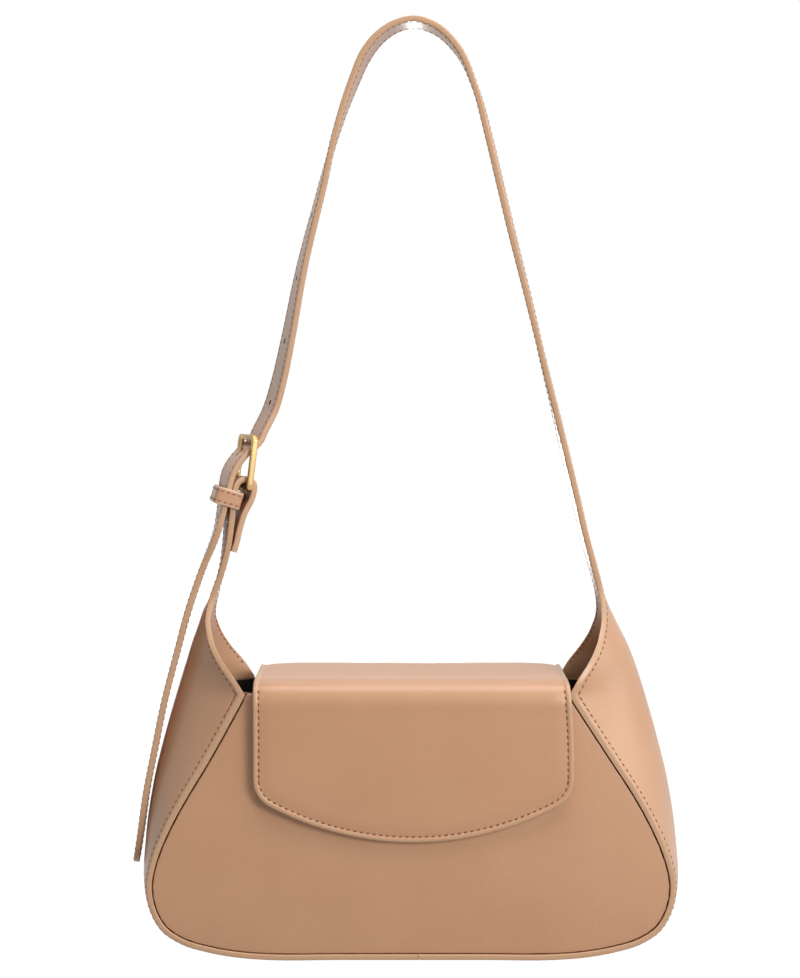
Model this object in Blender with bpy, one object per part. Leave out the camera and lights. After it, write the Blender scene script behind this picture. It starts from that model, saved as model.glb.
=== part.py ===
"""Structured shoulder bag with a flap, a one-piece look gusset and strap, and a belt buckle.

Metres, +Z up, the front faces -Y. The origin lies on the flat base, midway between the sides.
"""

import math

import bpy
import bmesh
import numpy as np
from mathutils import Vector

for old in list(bpy.data.objects):
    bpy.data.objects.remove(old, do_unlink=True)

# Body: the trapezoid panels and the band that wraps the base and sides
body_half_width = 0.1442
shoulder_height = 0.1385
half_depth = 0.042
shoulder_half_depth = 0.038
rim_thickness = 0.003
leather_ply = 0.00125
gap = 0.0003
seam_place = 0.004
edge_lean = 0.0028
crown_lean = 0.0029

# Panels, stiffeners and lining, stacked inwards from the rim
panel_recess = 0.0008
panel_thickness = 0.0022
panel_bulge = 0.0035
stiffener_thickness = 0.0014
lining_thickness = 0.0008
board_thickness = 0.0015
board_half_length = 0.072

# Flap
flap_side_gap = 0.0041
flap_rise = 0.0077
flap_bottom = 0.0626
flap_bottom_radius = 0.159
flap_corner_radius = 0.015
flap_thickness = 0.0019
facing_thickness = 0.0009
flap_standoff = 0.0007
anchor_inset = 0.0041
anchor_drop = 0.027
anchor_thickness = 0.0016
anchor_corner_radius = 0.012

# Hidden magnetic catch
magnet_radius = 0.008
magnet_thickness = 0.001
magnet_height = 0.078

# Strap
root_height = 0.186
root_place_share = 0.7282
root_clearance = 0.0008
strap_rise = 0.3098
strap_width = 0.025
strap_thickness = 0.0032
tail_gap = 0.0023
hole_radius = 0.0016
hole_pitch = 0.0345
hole_count = 4
tail_hole_count = 1

# Buckle and keeper
pivot_place_share = 0.8628
pivot_rise = 0.0602
buckle_turn = 18.0
frame_length = 0.0296
frame_lean = 7.0
frame_clearance = 0.001
bar_width = 0.003
bar_depth = 0.0032
pivot_radius = 0.0014
bar_clearance = 0.0012
prong_radius = 0.0011
prong_clearance = 0.0007
prong_ring_wall = 0.0011
prong_ring_width = 0.003
keeper_height = 0.0092
keeper_thickness = 0.0013
keeper_slack = 0.0005
keeper_corner = 0.0022
keeper_tilt = 17.5
keeper_turn = 11.0

flap_height = shoulder_height + flap_rise
mouth_share = 0.608
mouth_half_width = mouth_share * body_half_width
flap_half_width = mouth_half_width - flap_side_gap
anchor_half_width = flap_half_width - anchor_inset
strap_span = root_place_share * body_half_width
pivot_place = pivot_place_share * strap_span
strap_half = strap_width / 2
half_ply = strap_thickness / 2
flap_total = flap_thickness + gap + facing_thickness


# Finishes

def finish(name, colour, roughness, metallic=0.0):
    material = bpy.data.materials.new(name)
    material.use_nodes = True
    shader = material.node_tree.nodes["Principled BSDF"]
    shader.inputs["Base Color"].default_value = (*colour, 1.0)
    shader.inputs["Roughness"].default_value = roughness
    shader.inputs["Metallic"].default_value = metallic
    return material


camel_colour = (0.52, 0.29, 0.17)
pale_camel_colour = (0.62, 0.38, 0.25)
lining_colour = (0.018, 0.011, 0.007)
board_colour = (0.22, 0.19, 0.15)
gold_colour = (0.80, 0.60, 0.36)
steel_colour = (0.45, 0.45, 0.46)


# Geometry helpers

def smooth(points, steps):
    """An even curve through the points, with the given number of steps to each gap."""
    p = np.array(points, dtype=float)
    chord = np.maximum(np.linalg.norm(np.diff(p, axis=0), axis=1), 1e-9)
    slope = np.diff(p, axis=0) / chord[:, None]
    tangent = np.vstack([slope[:1], slope[-1:]])
    if len(p) > 2:
        before, after = chord[:-1, None], chord[1:, None]
        middle = (slope[:-1] * after + slope[1:] * before) / (before + after)
        tangent = np.vstack([slope[:1], middle, slope[-1:]])
    curve = []
    for i, length in enumerate(chord):
        for k in range(steps):
            s = k / steps
            curve.append(
                (2 * s**3 - 3 * s**2 + 1) * p[i]
                + (s**3 - 2 * s**2 + s) * length * tangent[i]
                + (3 * s**2 - 2 * s**3) * p[i + 1]
                + (s**3 - s**2) * length * tangent[i + 1]
            )
    curve.append(p[-1])
    return np.array(curve)


def sideways(line, amount):
    """A flat line moved to its left by the amount, mitred at its corners."""
    step = np.diff(line, axis=0)
    left = np.stack([-step[:, 1], step[:, 0]], axis=1)
    left /= np.linalg.norm(left, axis=1)[:, None]
    before = np.vstack([left[:1], left])
    after = np.vstack([left, left[-1:]])
    both = 1 + np.sum(before * after, axis=1)
    amount = np.broadcast_to(amount, (len(line),))
    return line + (amount / both)[:, None] * (before + after)


def ease(value, low, high):
    """A smooth rise from 0 at low to 1 at high."""
    share = np.clip((value - low) / (high - low), 0.0, 1.0)
    return share * share * (3 - 2 * share)


def make_object(name, verts, faces, material, smooth_angle=40.0):
    mesh = bpy.data.meshes.new(name)
    mesh.from_pydata([tuple(v) for v in verts], [], faces)
    edit = bmesh.new()
    edit.from_mesh(mesh)
    bmesh.ops.recalc_face_normals(edit, faces=edit.faces)
    if edit.calc_volume(signed=True) < 0:
        bmesh.ops.reverse_faces(edit, faces=edit.faces)
    edit.to_mesh(mesh)
    edit.free()
    mesh.shade_smooth()
    mesh.set_sharp_from_angle(angle=math.radians(smooth_angle))
    mesh.materials.append(material)
    item = bpy.data.objects.new(name, mesh)
    bpy.context.scene.collection.objects.link(item)
    return item


def slab(name, outer, inner, material, ring=False):
    """A closed sheet between two like grids; ring joins its last row to its first."""
    outer, inner = np.asarray(outer), np.asarray(inner)
    rows, cols = outer.shape[:2]
    verts = np.vstack([outer.reshape(-1, 3), inner.reshape(-1, 3)])
    half = rows * cols
    last = rows if ring else rows - 1
    faces = []
    for i in range(last):
        a, b = i * cols, ((i + 1) % rows) * cols
        for j in range(cols - 1):
            faces.append((a + j, a + j + 1, b + j + 1, b + j))
            faces.append((half + a + j, half + b + j, half + b + j + 1, half + a + j + 1))
        for j in (0, cols - 1):
            faces.append((a + j, b + j, half + b + j, half + a + j))
    if not ring:
        for i in (0, rows - 1):
            for j in range(cols - 1):
                a = i * cols + j
                faces.append((a, a + 1, half + a + 1, half + a))
    return make_object(name, verts, faces, material)


def sweep(name, sections, material, ring=False):
    """A bar through a list of like section loops, capped unless it closes on itself."""
    sections = np.asarray(sections)
    rows, cols = sections.shape[:2]
    faces = []
    for i in range(rows if ring else rows - 1):
        a, b = i * cols, ((i + 1) % rows) * cols
        for j in range(cols):
            k = (j + 1) % cols
            faces.append((a + j, a + k, b + k, b + j))
    if not ring:
        faces.append(tuple(range(cols)))
        faces.append(tuple(range((rows - 1) * cols, rows * cols)))
    return make_object(name, sections.reshape(-1, 3), faces, material)


def combine(item, tool, operation):
    """Apply one exact Boolean with a tool that is left out of the model."""
    tool.hide_render = True
    tool.display_type = "WIRE"
    modifier = item.modifiers.new(operation.lower(), "BOOLEAN")
    modifier.operation = operation
    modifier.solver = "EXACT"
    modifier.object = tool


cutter_finish = finish("cutter", steel_colour, 0.5)


def rod_tool(name, centre, direction, radius, length, sides=24):
    """A round bar used as a cutter or as a plain disc."""
    axis = Vector(direction).normalized()
    across = axis.orthogonal().normalized()
    other = axis.cross(across)
    sections = []
    for end in (-0.5, 0.5):
        middle = Vector(centre) + axis * (length * end)
        angles = [math.tau * k / sides for k in range(sides)]
        sections.append([middle + across * (radius * math.cos(a)) + other * (radius * math.sin(a))
                         for a in angles])
    return sweep(name, sections, cutter_finish)


# Gusset: outline shares of the rim edge and of the crown midway between the panels

# Rim x, rim z, crown x and crown z, as shares of body_half_width and shoulder_height
side_shares = [
    (0.277, 0.000, 0.277, 0.000), (0.520, 0.000, 0.520, 0.000), (0.638, 0.010, 0.645, 0.004),
    (0.742, 0.030, 0.763, 0.016), (0.832, 0.059, 0.867, 0.051), (0.902, 0.107, 0.940, 0.108),
    (0.945, 0.182, 0.983, 0.195), (0.961, 0.278, 1.000, 0.296), (0.942, 0.378, 0.997, 0.404),
    (0.892, 0.504, 0.984, 0.534), (0.825, 0.631, 0.964, 0.657), (0.748, 0.758, 0.935, 0.780),
    (0.675, 0.883, 0.902, 0.906), (mouth_share, 1.000, 0.867, 1.024),
]
# Edge x, edge z, crown x, crown z, depth and thickness above the shoulder; heights are
# shares of the way from the shoulder to the root, depth and thickness shares of their change
wing_shares = [
    (mouth_share, 0.000, 0.867, 0.069, 1.000, 1.00), (0.638, 0.147, 0.841, 0.274, 0.969, 0.75),
    (0.683, 0.331, 0.816, 0.480, 0.804, 0.45), (0.717, 0.516, 0.790, 0.663, 0.569, 0.20),
    (0.736, 0.699, 0.767, 0.832, 0.306, 0.00), (0.743, 0.865, 0.754, 0.987, 0.067, 0.00),
]
edge_lean_shares = (0.62, 1.20)
crown_lean_shares = (1.05, 1.44)
facing_short_row_count = 2
section_columns = 9
column_shares = [2 * k / (section_columns - 1) - 1 for k in range(section_columns)]


def depth_at(z):
    """Half the bag's depth at a height below the shoulder."""
    return half_depth - (half_depth - shoulder_half_depth) * z / shoulder_height


def lean_of(z, amount, shares):
    return amount * ease(z / shoulder_height, *shares)


def gusset_lines(side):
    """Rim line, crown line, half depth and thickness along one half of the band."""
    start = seam_place * side + gap / 2
    low = [(start, 0.0, start, 0.0)]
    for rim_x, rim_z, crown_x, crown_z in side_shares:
        low.append((rim_x * body_half_width, rim_z * shoulder_height,
                    crown_x * body_half_width, crown_z * shoulder_height))
    low = smooth(low, 2)
    wing_height = root_height - shoulder_height
    high = []
    for edge_x, edge_z, crown_x, crown_z, depth, ply in wing_shares:
        high.append((edge_x * body_half_width, shoulder_height + edge_z * wing_height,
                     crown_x * body_half_width, shoulder_height + crown_z * wing_height,
                     strap_half + depth * (shoulder_half_depth - strap_half),
                     leather_ply + ply * (rim_thickness - leather_ply)))
    high = smooth(high, 3)
    rim = np.vstack([low[:-1, 0:2], high[:, 0:2]])
    crown = np.vstack([low[:-1, 2:4], high[:, 2:4]])
    depth = np.concatenate([depth_at(low[:-1, 1]), high[:, 4]])
    ply = np.concatenate([np.full(len(low) - 1, rim_thickness), high[:, 5]])
    rim[:, 0] -= side * lean_of(rim[:, 1], edge_lean, edge_lean_shares)
    crown[:, 0] -= side * lean_of(crown[:, 1], crown_lean, crown_lean_shares)
    return rim, crown, depth, ply, len(low) - 1


def band_grid(side, rim, crown, depth):
    """Sections from the front edge over the crown to the back edge, at each station."""
    grid = []
    for (rim_x, rim_z), (crown_x, crown_z), half in zip(rim, crown, depth):
        row = []
        for share in column_shares:
            swell = 1 - share * share
            row.append((side * (rim_x + (crown_x - rim_x) * swell), half * share,
                        rim_z + (crown_z - rim_z) * swell))
        grid.append(row)
    return np.array(grid)


def root_notch(name, side, radius):
    """Round cutter on the swing axis, which frees the strap's round root."""
    return rod_tool(name, (side * strap_span, 0, root_height), (1, 0, 0), radius,
                    strap_width, 48)


def build_gusset(side, word):
    rim, crown, depth, ply, shoulder = gusset_lines(side)
    leather = finish("gusset_" + word, camel_colour, 0.42)
    outer = band_grid(side, rim, crown, depth)
    inner = band_grid(side, sideways(rim, ply), sideways(crown, ply), depth)
    gusset = slab("gusset_" + word, outer, inner, leather)
    combine(gusset, root_notch("gusset_notch_" + word, side, strap_half + root_clearance), "DIFFERENCE")

    facing = finish("gusset_facing_" + word, pale_camel_colour, 0.45)
    under = ply + gap
    rows = slice(shoulder + 2, -facing_short_row_count)
    outer = band_grid(side, sideways(rim, under), sideways(crown, under), depth)[rows]
    under = under + leather_ply
    inner = band_grid(side, sideways(rim, under), sideways(crown, under), depth)[rows]
    layer = slab("gusset_facing_" + word, outer, inner, facing)
    combine(layer, root_notch("facing_notch_" + word, side, strap_half + root_clearance), "DIFFERENCE")


for side, word in ((-1, "left"), (1, "right")):
    build_gusset(side, word)


def crown_at(side, z):
    """How far the crown stands out at a height above the corner."""
    crown = gusset_lines(side)[1]
    widest = int(np.argmax(crown[:, 0]))
    return float(np.interp(z, crown[widest:, 1], crown[widest:, 0]))


# Panels, stiffeners and lining faces: rings that swell towards the middle

ring_shares = (1.0, 0.9, 0.72, 0.48, 0.22)
hidden_ring_shares = (1.0, 0.72, 0.36)
panel_centre_share = 0.46
top_edge_steps = 8


def panel_outline(inset):
    """Closed outline inside the rim, from the left shoulder round the base to the right."""
    sides = []
    for side in (-1, 1):
        rim, _, _, _, shoulder = gusset_lines(side)
        line = sideways(rim, inset)[:shoulder + 1]
        line[:, 0] *= side
        sides.append(line)
    left, right = sides
    outline = np.vstack([left[::-1], right[1:]])
    shares = [k / top_edge_steps for k in range(1, top_edge_steps)]
    top = [outline[-1] + (outline[0] - outline[-1]) * share for share in shares]
    return np.vstack([outline, top])


def panel_depth(z, share, recess):
    """Distance of a panel's face from the mid plane at a height and a ring."""
    return depth_at(z) - recess + panel_bulge * (1 - share * share)


def face_share(x_share, z):
    """Ring share of a point on the panel's centre line."""
    middle = panel_centre_share * shoulder_height
    reach = shoulder_height - middle if z > middle else middle
    return max(abs(z - middle) / reach, x_share)


def build_panel(name, facing, inset, recess, thickness, material, hidden=False):
    outline = panel_outline(inset)
    shares = ring_shares
    if hidden:
        outline = outline[::2]
        shares = hidden_ring_shares
    middle = np.array((0.0, panel_centre_share * shoulder_height))
    count = len(outline)
    verts, faces = [], []
    for layer in (recess, recess + thickness):
        for share in shares:
            for x, z in middle + (outline - middle) * share:
                verts.append((x, facing * panel_depth(z, share, layer), z))
        verts.append((middle[0], facing * panel_depth(middle[1], 0.0, layer), middle[1]))
    rings = len(shares)
    half = rings * count + 1
    for base in (0, half):
        for r in range(rings - 1):
            for j in range(count):
                k = (j + 1) % count
                a, b = base + r * count, base + (r + 1) * count
                faces.append((a + j, a + k, b + k, b + j))
        last = base + (rings - 1) * count
        for j in range(count):
            faces.append((last + j, last + (j + 1) % count, base + half - 1))
    for j in range(count):
        k = (j + 1) % count
        faces.append((j, k, half + k, half + j))
    return make_object(name, verts, faces, material)


panel_inset = rim_thickness + gap
stiffener_recess = panel_recess + panel_thickness + gap
lining_recess = stiffener_recess + stiffener_thickness + gap
lining_inset = rim_thickness + gap + board_thickness + gap
lining_face_inset = lining_inset + lining_thickness + gap
lining_depth_inset = lining_recess + lining_thickness + gap

for facing, word in ((-1, "front"), (1, "back")):
    build_panel(word + "_panel", facing, panel_inset, panel_recess, panel_thickness,
                finish(word + "_panel", camel_colour, 0.42))
    stiffener = build_panel(word + "_stiffener", facing, panel_inset, stiffener_recess,
                            stiffener_thickness, finish(word + "_stiffener", board_colour, 0.9),
                            hidden=True)
    build_panel("lining_" + word, facing, lining_face_inset, lining_recess, lining_thickness,
                finish("lining_" + word, lining_colour, 0.85), hidden=True)
    if word == "front":
        front_stiffener = stiffener

magnet_share = face_share(0.0, magnet_height)
panel_magnet_y = -panel_depth(magnet_height, magnet_share,
                              stiffener_recess + stiffener_thickness / 2)
magnet_hole = rod_tool("magnet_hole", (0, panel_magnet_y, magnet_height), (0, 1, 0),
                       magnet_radius + gap, strap_width)
combine(front_stiffener, magnet_hole, "DIFFERENCE")


def magnet(name, y):
    disc = rod_tool(name, (0, y, magnet_height), (0, 1, 0), magnet_radius, magnet_thickness, 32)
    disc.data.materials[0] = finish(name, steel_colour, 0.35, 1.0)


magnet("panel_magnet", panel_magnet_y)


# Lining band and base board

def build_lining_band():
    rows_out, rows_in = [], []
    for side in (-1, 1):
        rim, crown, depth, _, shoulder = gusset_lines(side)
        depth = depth[:shoulder + 1] - lining_depth_inset
        grids = []
        for inset in (lining_inset, lining_inset + lining_thickness):
            edge = sideways(rim, inset)[:shoulder + 1]
            top = sideways(crown, inset)[:shoulder + 1]
            grids.append(band_grid(side, edge, top, depth)[::2, ::2])
        first = 1 if side > 0 else 0
        order = slice(None, None, 1) if side > 0 else slice(None, None, -1)
        rows_out.append(grids[0][first:][order])
        rows_in.append(grids[1][first:][order])
    slab("lining_gusset", np.vstack(rows_out), np.vstack(rows_in),
         finish("lining_gusset", lining_colour, 0.85))


build_lining_band()

board_half_depth = half_depth - lining_depth_inset
board_low = rim_thickness + gap
board_corner = board_half_depth / 5


def rounded_loop(half_a, half_b, radius, steps):
    """Corner-rounded rectangle about the origin, as points in order."""
    loop = []
    for quarter, (a, b) in enumerate(((1, 1), (-1, 1), (-1, -1), (1, -1))):
        for k in range(steps + 1):
            angle = math.radians(90 * (quarter + k / steps))
            loop.append((a * (half_a - radius) + radius * math.cos(angle),
                         b * (half_b - radius) + radius * math.sin(angle)))
    return loop


board_outline = rounded_loop(board_half_length, board_half_depth, board_corner, 4)
sweep("base_board", [[(x, y, z) for x, y in board_outline]
                     for z in (board_low, board_low + board_thickness)],
      finish("base_board", board_colour, 0.9))


# Flap: hinge line on the back edge, over the top, down the front

back_face = panel_depth(shoulder_height, 1.0, panel_recess)
hinge_y = back_face + gap + anchor_thickness
hinge_z = shoulder_height + gap + flap_total
front_face = panel_depth(flap_bottom, face_share(0.0, flap_bottom), panel_recess)
drop_y = front_face + flap_standoff + flap_total / 2
crest_z = flap_height - flap_total / 2

# Depth shares of the hinge or of the front drop, and height shares from hinge to crest or base
flap_top_shares = [(1.00, 0.00), (0.92, 0.52), (0.76, 0.86), (0.40, 1.00), (0.00, 1.00)]
flap_front_shares = [(0.45, 1.000), (0.76, 0.997), (0.905, 0.972), (0.962, 0.915), (0.975, 0.800),
                     (0.985, 0.600), (0.996, 0.350), (1.000, 0.150), (1.000, 0.000)]


def flap_line():
    """Middle line of the flap's thickness in the plane of depth and height."""
    points = [(hinge_y * y, hinge_z + (crest_z - hinge_z) * z) for y, z in flap_top_shares]
    points += [(-drop_y * y, flap_bottom + (crest_z - flap_bottom) * z)
               for y, z in flap_front_shares]
    return smooth(points, 3)


flap_middle = flap_line()
flap_path = np.concatenate([[0], np.cumsum(np.linalg.norm(np.diff(flap_middle, axis=0), axis=1))])
front_start = int(np.argmax(flap_middle[:, 1]))


def flap_end(x):
    """Height of the flap's bottom edge at a place across it."""
    inner = flap_half_width - flap_corner_radius
    reach = flap_bottom_radius - flap_corner_radius
    centre = flap_bottom + flap_bottom_radius
    tangent = inner * flap_bottom_radius / reach
    if abs(x) <= tangent:
        return centre - math.sqrt(flap_bottom_radius**2 - x * x)
    corner = centre - math.sqrt(reach**2 - inner**2)
    return corner - math.sqrt(max(flap_corner_radius**2 - (abs(x) - inner)**2, 0.0))


def flap_columns():
    """Places across the flap, closer together round its corners."""
    inner = flap_half_width - flap_corner_radius
    reach = flap_bottom_radius - flap_corner_radius
    start = math.acos(inner / reach)
    half = [inner * flap_bottom_radius / reach * k / 7 for k in range(1, 7)]
    half += [inner + flap_corner_radius * math.cos(start * (1 - k / 5)) for k in range(6)]
    return [-x for x in reversed(half)] + [0.0] + half


top_rows = 18
drop_rows = 10
drop_start_share = 0.74


def flap_grid(offset):
    """Grid over the flap at an offset outwards from the middle of its thickness."""
    line = sideways(flap_middle, -offset)
    heights, paths = flap_middle[front_start:, 1], flap_path[front_start:]
    drop_start = flap_bottom + (crest_z - flap_bottom) * drop_start_share
    start = float(np.interp(-drop_start, -heights, paths))
    grid = []
    for x in flap_columns():
        end = float(np.interp(-flap_end(x), -heights, paths))
        stops = [start * k / top_rows for k in range(top_rows)]
        stops += [start + (end - start) * k / drop_rows for k in range(drop_rows + 1)]
        grid.append([(x, float(np.interp(s, flap_path, line[:, 0])),
                      float(np.interp(s, flap_path, line[:, 1]))) for s in stops])
    return grid


outer_face = flap_total / 2
ply_face = outer_face - flap_thickness
flap = slab("flap", flap_grid(outer_face), flap_grid(ply_face),
            finish("flap", camel_colour, 0.4))
slab("flap_facing", flap_grid(ply_face - gap), flap_grid(-outer_face),
     finish("flap_facing", pale_camel_colour, 0.45))
pocket_depth = magnet_thickness + gap
drop_at = float(np.interp(-magnet_height, -flap_middle[front_start:, 1],
                          flap_middle[front_start:, 0]))
ply_y = drop_at - flap_total / 2 + flap_thickness
flap_pocket = rod_tool("flap_pocket", (0, ply_y - pocket_depth + half_depth / 2, magnet_height),
                       (0, 1, 0), magnet_radius + gap, half_depth)
combine(flap, flap_pocket, "DIFFERENCE")
magnet("flap_magnet", ply_y - magnet_thickness / 2)


# Flap anchor: the end of the flap that is sewn down on the back panel

def build_anchor():
    columns = 17
    grid_out, grid_in = [], []
    inner = anchor_half_width - anchor_corner_radius
    for k in range(columns):
        x = anchor_half_width * math.sin(math.pi / 2 * (2 * k / (columns - 1) - 1))
        rounding = min(max(abs(x) - inner, 0.0), anchor_corner_radius)
        lift = anchor_corner_radius - math.sqrt(anchor_corner_radius**2 - rounding**2)
        low = shoulder_height - anchor_drop + lift
        row_out, row_in = [], []
        for j in range(6):
            z = low + (shoulder_height - low) * j / 5
            y = panel_depth(z, face_share(0.0, z), panel_recess) + gap
            row_in.append((x, y, z))
            row_out.append((x, y + anchor_thickness, z))
        grid_out.append(row_out)
        grid_in.append(row_in)
    slab("flap_anchor", grid_out, grid_in, finish("flap_anchor", camel_colour, 0.42))


build_anchor()


# Strap bands: stations with a place, a turn about the vertical and a half width

def band(name, places, turns, halves, material):
    """A flat band along a route, as wide as its halves say at each station."""
    places = np.array(places, dtype=float)
    tangents = np.gradient(places, axis=0)
    outer, inner = [], []
    for place, tangent, turn, half in zip(places, tangents, turns, halves):
        tangent = Vector(tangent).normalized()
        angle = math.radians(turn)
        width = Vector((-math.sin(angle), math.cos(angle), 0))
        width = (width - tangent * width.dot(tangent)).normalized()
        out = tangent.cross(width) * half_ply
        middle = Vector(place)
        outer.append([middle - width * half + out, middle + width * half + out])
        inner.append([middle - width * half - out, middle + width * half - out])
    return slab(name, outer, inner, material)


def round_end(places, half, full_round):
    """Half widths that round off the start of a band over the given length."""
    steps = np.linalg.norm(np.diff(places, axis=0), axis=1)
    path = np.concatenate([[0], np.cumsum(steps)])
    share = np.clip(1 - path / full_round, 0.0, 1.0)
    return half * np.sqrt(np.maximum(1 - share * share, 0.0))


turn_rad = math.radians(buckle_turn)
inward = Vector((math.cos(turn_rad), math.sin(turn_rad), 0))
across = Vector((-math.sin(turn_rad), math.cos(turn_rad), 0))
upward = Vector((0, 0, 1))
pivot = Vector((-pivot_place, 0, root_height + pivot_rise))


def at_buckle(u, s, v=0.0):
    """A point given inwards, upwards and across from the buckle's pivot."""
    return pivot + inward * u + upward * s + across * v


frame_tilt = math.radians(frame_lean)
frame_up = (inward * math.sin(frame_tilt) + upward * math.cos(frame_tilt)).normalized()
frame_out = (inward * math.cos(frame_tilt) - upward * math.sin(frame_tilt)).normalized()
bar_reach = frame_length - bar_width
top_bar = (bar_reach * math.sin(frame_tilt), bar_reach * math.cos(frame_tilt))
strap_slant = math.radians(-40.5)
top_pass = bar_width / 2 + bar_clearance + half_ply

# Right root to the left of the apex: x, depth and height as shares of strap_span and
# strap_rise, and the turn of the band in degrees
arch_shares = [
    (1.028, 0.000, -0.0386, 0.0), (0.983, 0.000, 0.000, 0.0), (0.958, 0.000, 0.027, 0.0),
    (0.934, 0.000, 0.055, 0.0), (0.886, 0.000, 0.111, 0.0), (0.838, 0.000, 0.174, 0.0),
    (0.753, 0.000, 0.295, -1.0), (0.673, 0.000, 0.405, -3.0), (0.624, 0.000, 0.495, -5.0),
    (0.524, 0.000, 0.644, -6.0), (0.460, 0.000, 0.719, -6.0), (0.396, 0.000, 0.805, -6.0),
    (0.335, 0.000, 0.879, -5.0), (0.234, 0.000, 0.953, -2.0), (0.129, 0.000, 0.991, -1.0),
    (0.013, 0.000, 1.000, 0.0), (-0.087, 0.000, 0.985, -3.0), (-0.195, 0.000, 0.955, -6.0),
    (-0.2915, 0.002, 0.895, -4.0), (-0.398, 0.005, 0.790, 2.0), (-0.4515, 0.011, 0.721, 7.0),
    (-0.570, 0.029, 0.575, 11.0), (-0.636, 0.043, 0.446, 14.5), (-0.677, 0.048, 0.377, 16.5),
]
# From the arch to the buckle, then over the pivot bar and into the keeper, inwards and
# upwards from the pivot as shares of frame_length; the third is a share of buckle_turn
approach_shares = [(0.520, 1.385), (0.330, 1.015)]
crossing_shares = [(0.040, 0.650, 1.0), (-0.159, 0.432, 1.0), (-0.257, 0.267, 1.0),
                   (-0.308, 0.101, 0.94), (-0.352, -0.159, 0.8), (-0.385, -0.375, 0.62),
                   (-0.455, -0.730, 0.40)]
# Tail below the keeper: the free point, then height as a share of root_height, gap to the
# gusset as a share of tail_gap, depth as a share of strap_width, and turn
tail_free_share = (-1.067, 0.0521, -0.08, 3.0)
tail_shares = [(0.972, 2.45, -0.08, 3.0), (0.839, 1.60, -0.10, 4.0), (0.704, 0.86, -0.14, 4.0),
               (0.570, 0.42, -0.16, 4.0), (0.438, 0.40, -0.16, 4.0), (0.322, 0.45, -0.16, 4.0),
               (0.2365, 1.03, -0.16, 4.0)]
tail_tip_length = strap_width * 0.42


def long_strap_route():
    rows = [(strap_span * x, strap_span * y, root_height + strap_rise * z, turn)
            for x, y, z, turn in arch_shares]
    local = [(frame_length * u, frame_length * s) for u, s in approach_shares]
    local.append((top_bar[0] + top_pass * math.cos(strap_slant),
                  top_bar[1] + top_pass * math.sin(strap_slant)))
    rows += [(*at_buckle(u, s), buckle_turn) for u, s in local]
    rows += [(*at_buckle(frame_length * u, frame_length * s), buckle_turn * turn)
             for u, s, turn in crossing_shares]
    x, z, y, turn = tail_free_share
    rows.append((strap_span * x, strap_width * y, root_height + strap_rise * z, turn))
    for height, clear, y, turn in tail_shares:
        z = root_height * height
        x = -(crown_at(-1, z) + tail_gap * clear + half_ply)
        rows.append((x, strap_width * y, z, turn))
    return rows


def route_curve(rows, steps):
    """Places and turns along a route; turns follow the same spacing as the places."""
    places = smooth([row[:3] for row in rows], steps)
    stops = np.arange(len(rows)) * steps
    turns = np.interp(np.arange(len(places)), stops, [row[3] for row in rows])
    return places, turns


def refine_start(places, turns, reach, extra):
    """Closer stations over the first stretch, for a round end."""
    steps = np.linalg.norm(np.diff(places, axis=0), axis=1)
    path = np.concatenate([[0], np.cumsum(steps)])
    fine = [reach * (1 - math.cos(math.pi / 2 * k / extra)) for k in range(extra)]
    stops = np.array(fine + [s for s in path if s > reach * 1.02])
    new = np.stack([np.interp(stops, path, places[:, i]) for i in range(3)], axis=1)
    return new, np.interp(stops, path, turns)


root_margin = half_ply / 2


def trimmed_root(places, turns):
    """Start the band where its round root touches the swing circle's foot."""
    heights = places[:, 2]
    foot = root_height - strap_half + root_margin
    keep = heights > foot
    first = int(np.argmax(keep))
    share = (foot - heights[first - 1]) / (heights[first] - heights[first - 1]) if first else 0.0
    if first:
        start = places[first - 1] + (places[first] - places[first - 1]) * share
        places = np.vstack([start, places[first:]])
        turns = np.concatenate([[turns[first - 1]], turns[first:]])
    return places, turns


def root_halves(places):
    """Half widths that follow the swing circle below its axis."""
    below = np.clip(root_height + root_margin - places[:, 2], 0.0, strap_half)
    return np.sqrt(np.maximum(strap_half**2 - below**2, 0.0))


least_half = strap_half * 0.12


def build_long_strap():
    rows = long_strap_route()
    places, turns = route_curve(rows, 3)
    places, turns = trimmed_root(places, turns)
    places, turns = refine_start(places, turns, strap_half, 8)
    back, back_turns = refine_start(places[::-1], turns[::-1], tail_tip_length, 6)
    places, turns = back[::-1], back_turns[::-1]
    halves = root_halves(places)
    halves = np.minimum(halves, round_end(places[::-1], strap_half, tail_tip_length)[::-1])
    halves = np.maximum(halves, least_half)
    strap = band("long_strap", places, turns, halves, finish("long_strap", camel_colour, 0.42))
    return strap, places, turns


long_strap, strap_places, strap_turns = build_long_strap()

# Prong: a ring on the pivot bar and a shank that leans on the top bar
# Inwards and upwards from the pivot as shares of frame_length
prong_shares = [(0.00, -0.02), (0.00, 0.135), (0.003, 0.30), (0.022, 0.47), (0.050, 0.62),
                (0.078, 0.78), (0.086, 0.94)]
ring_inner = pivot_radius + gap
ring_outer = ring_inner + prong_ring_wall
shank_u = -(ring_inner + prong_radius + gap / 2)
prong_line = [(shank_u + frame_length * u, frame_length * s) for u, s in prong_shares]
prong_sides = 10


def circle(middle, first, second, radius, sides):
    return [middle + first * (radius * math.cos(math.tau * k / sides))
            + second * (radius * math.sin(math.tau * k / sides)) for k in range(sides)]


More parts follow.
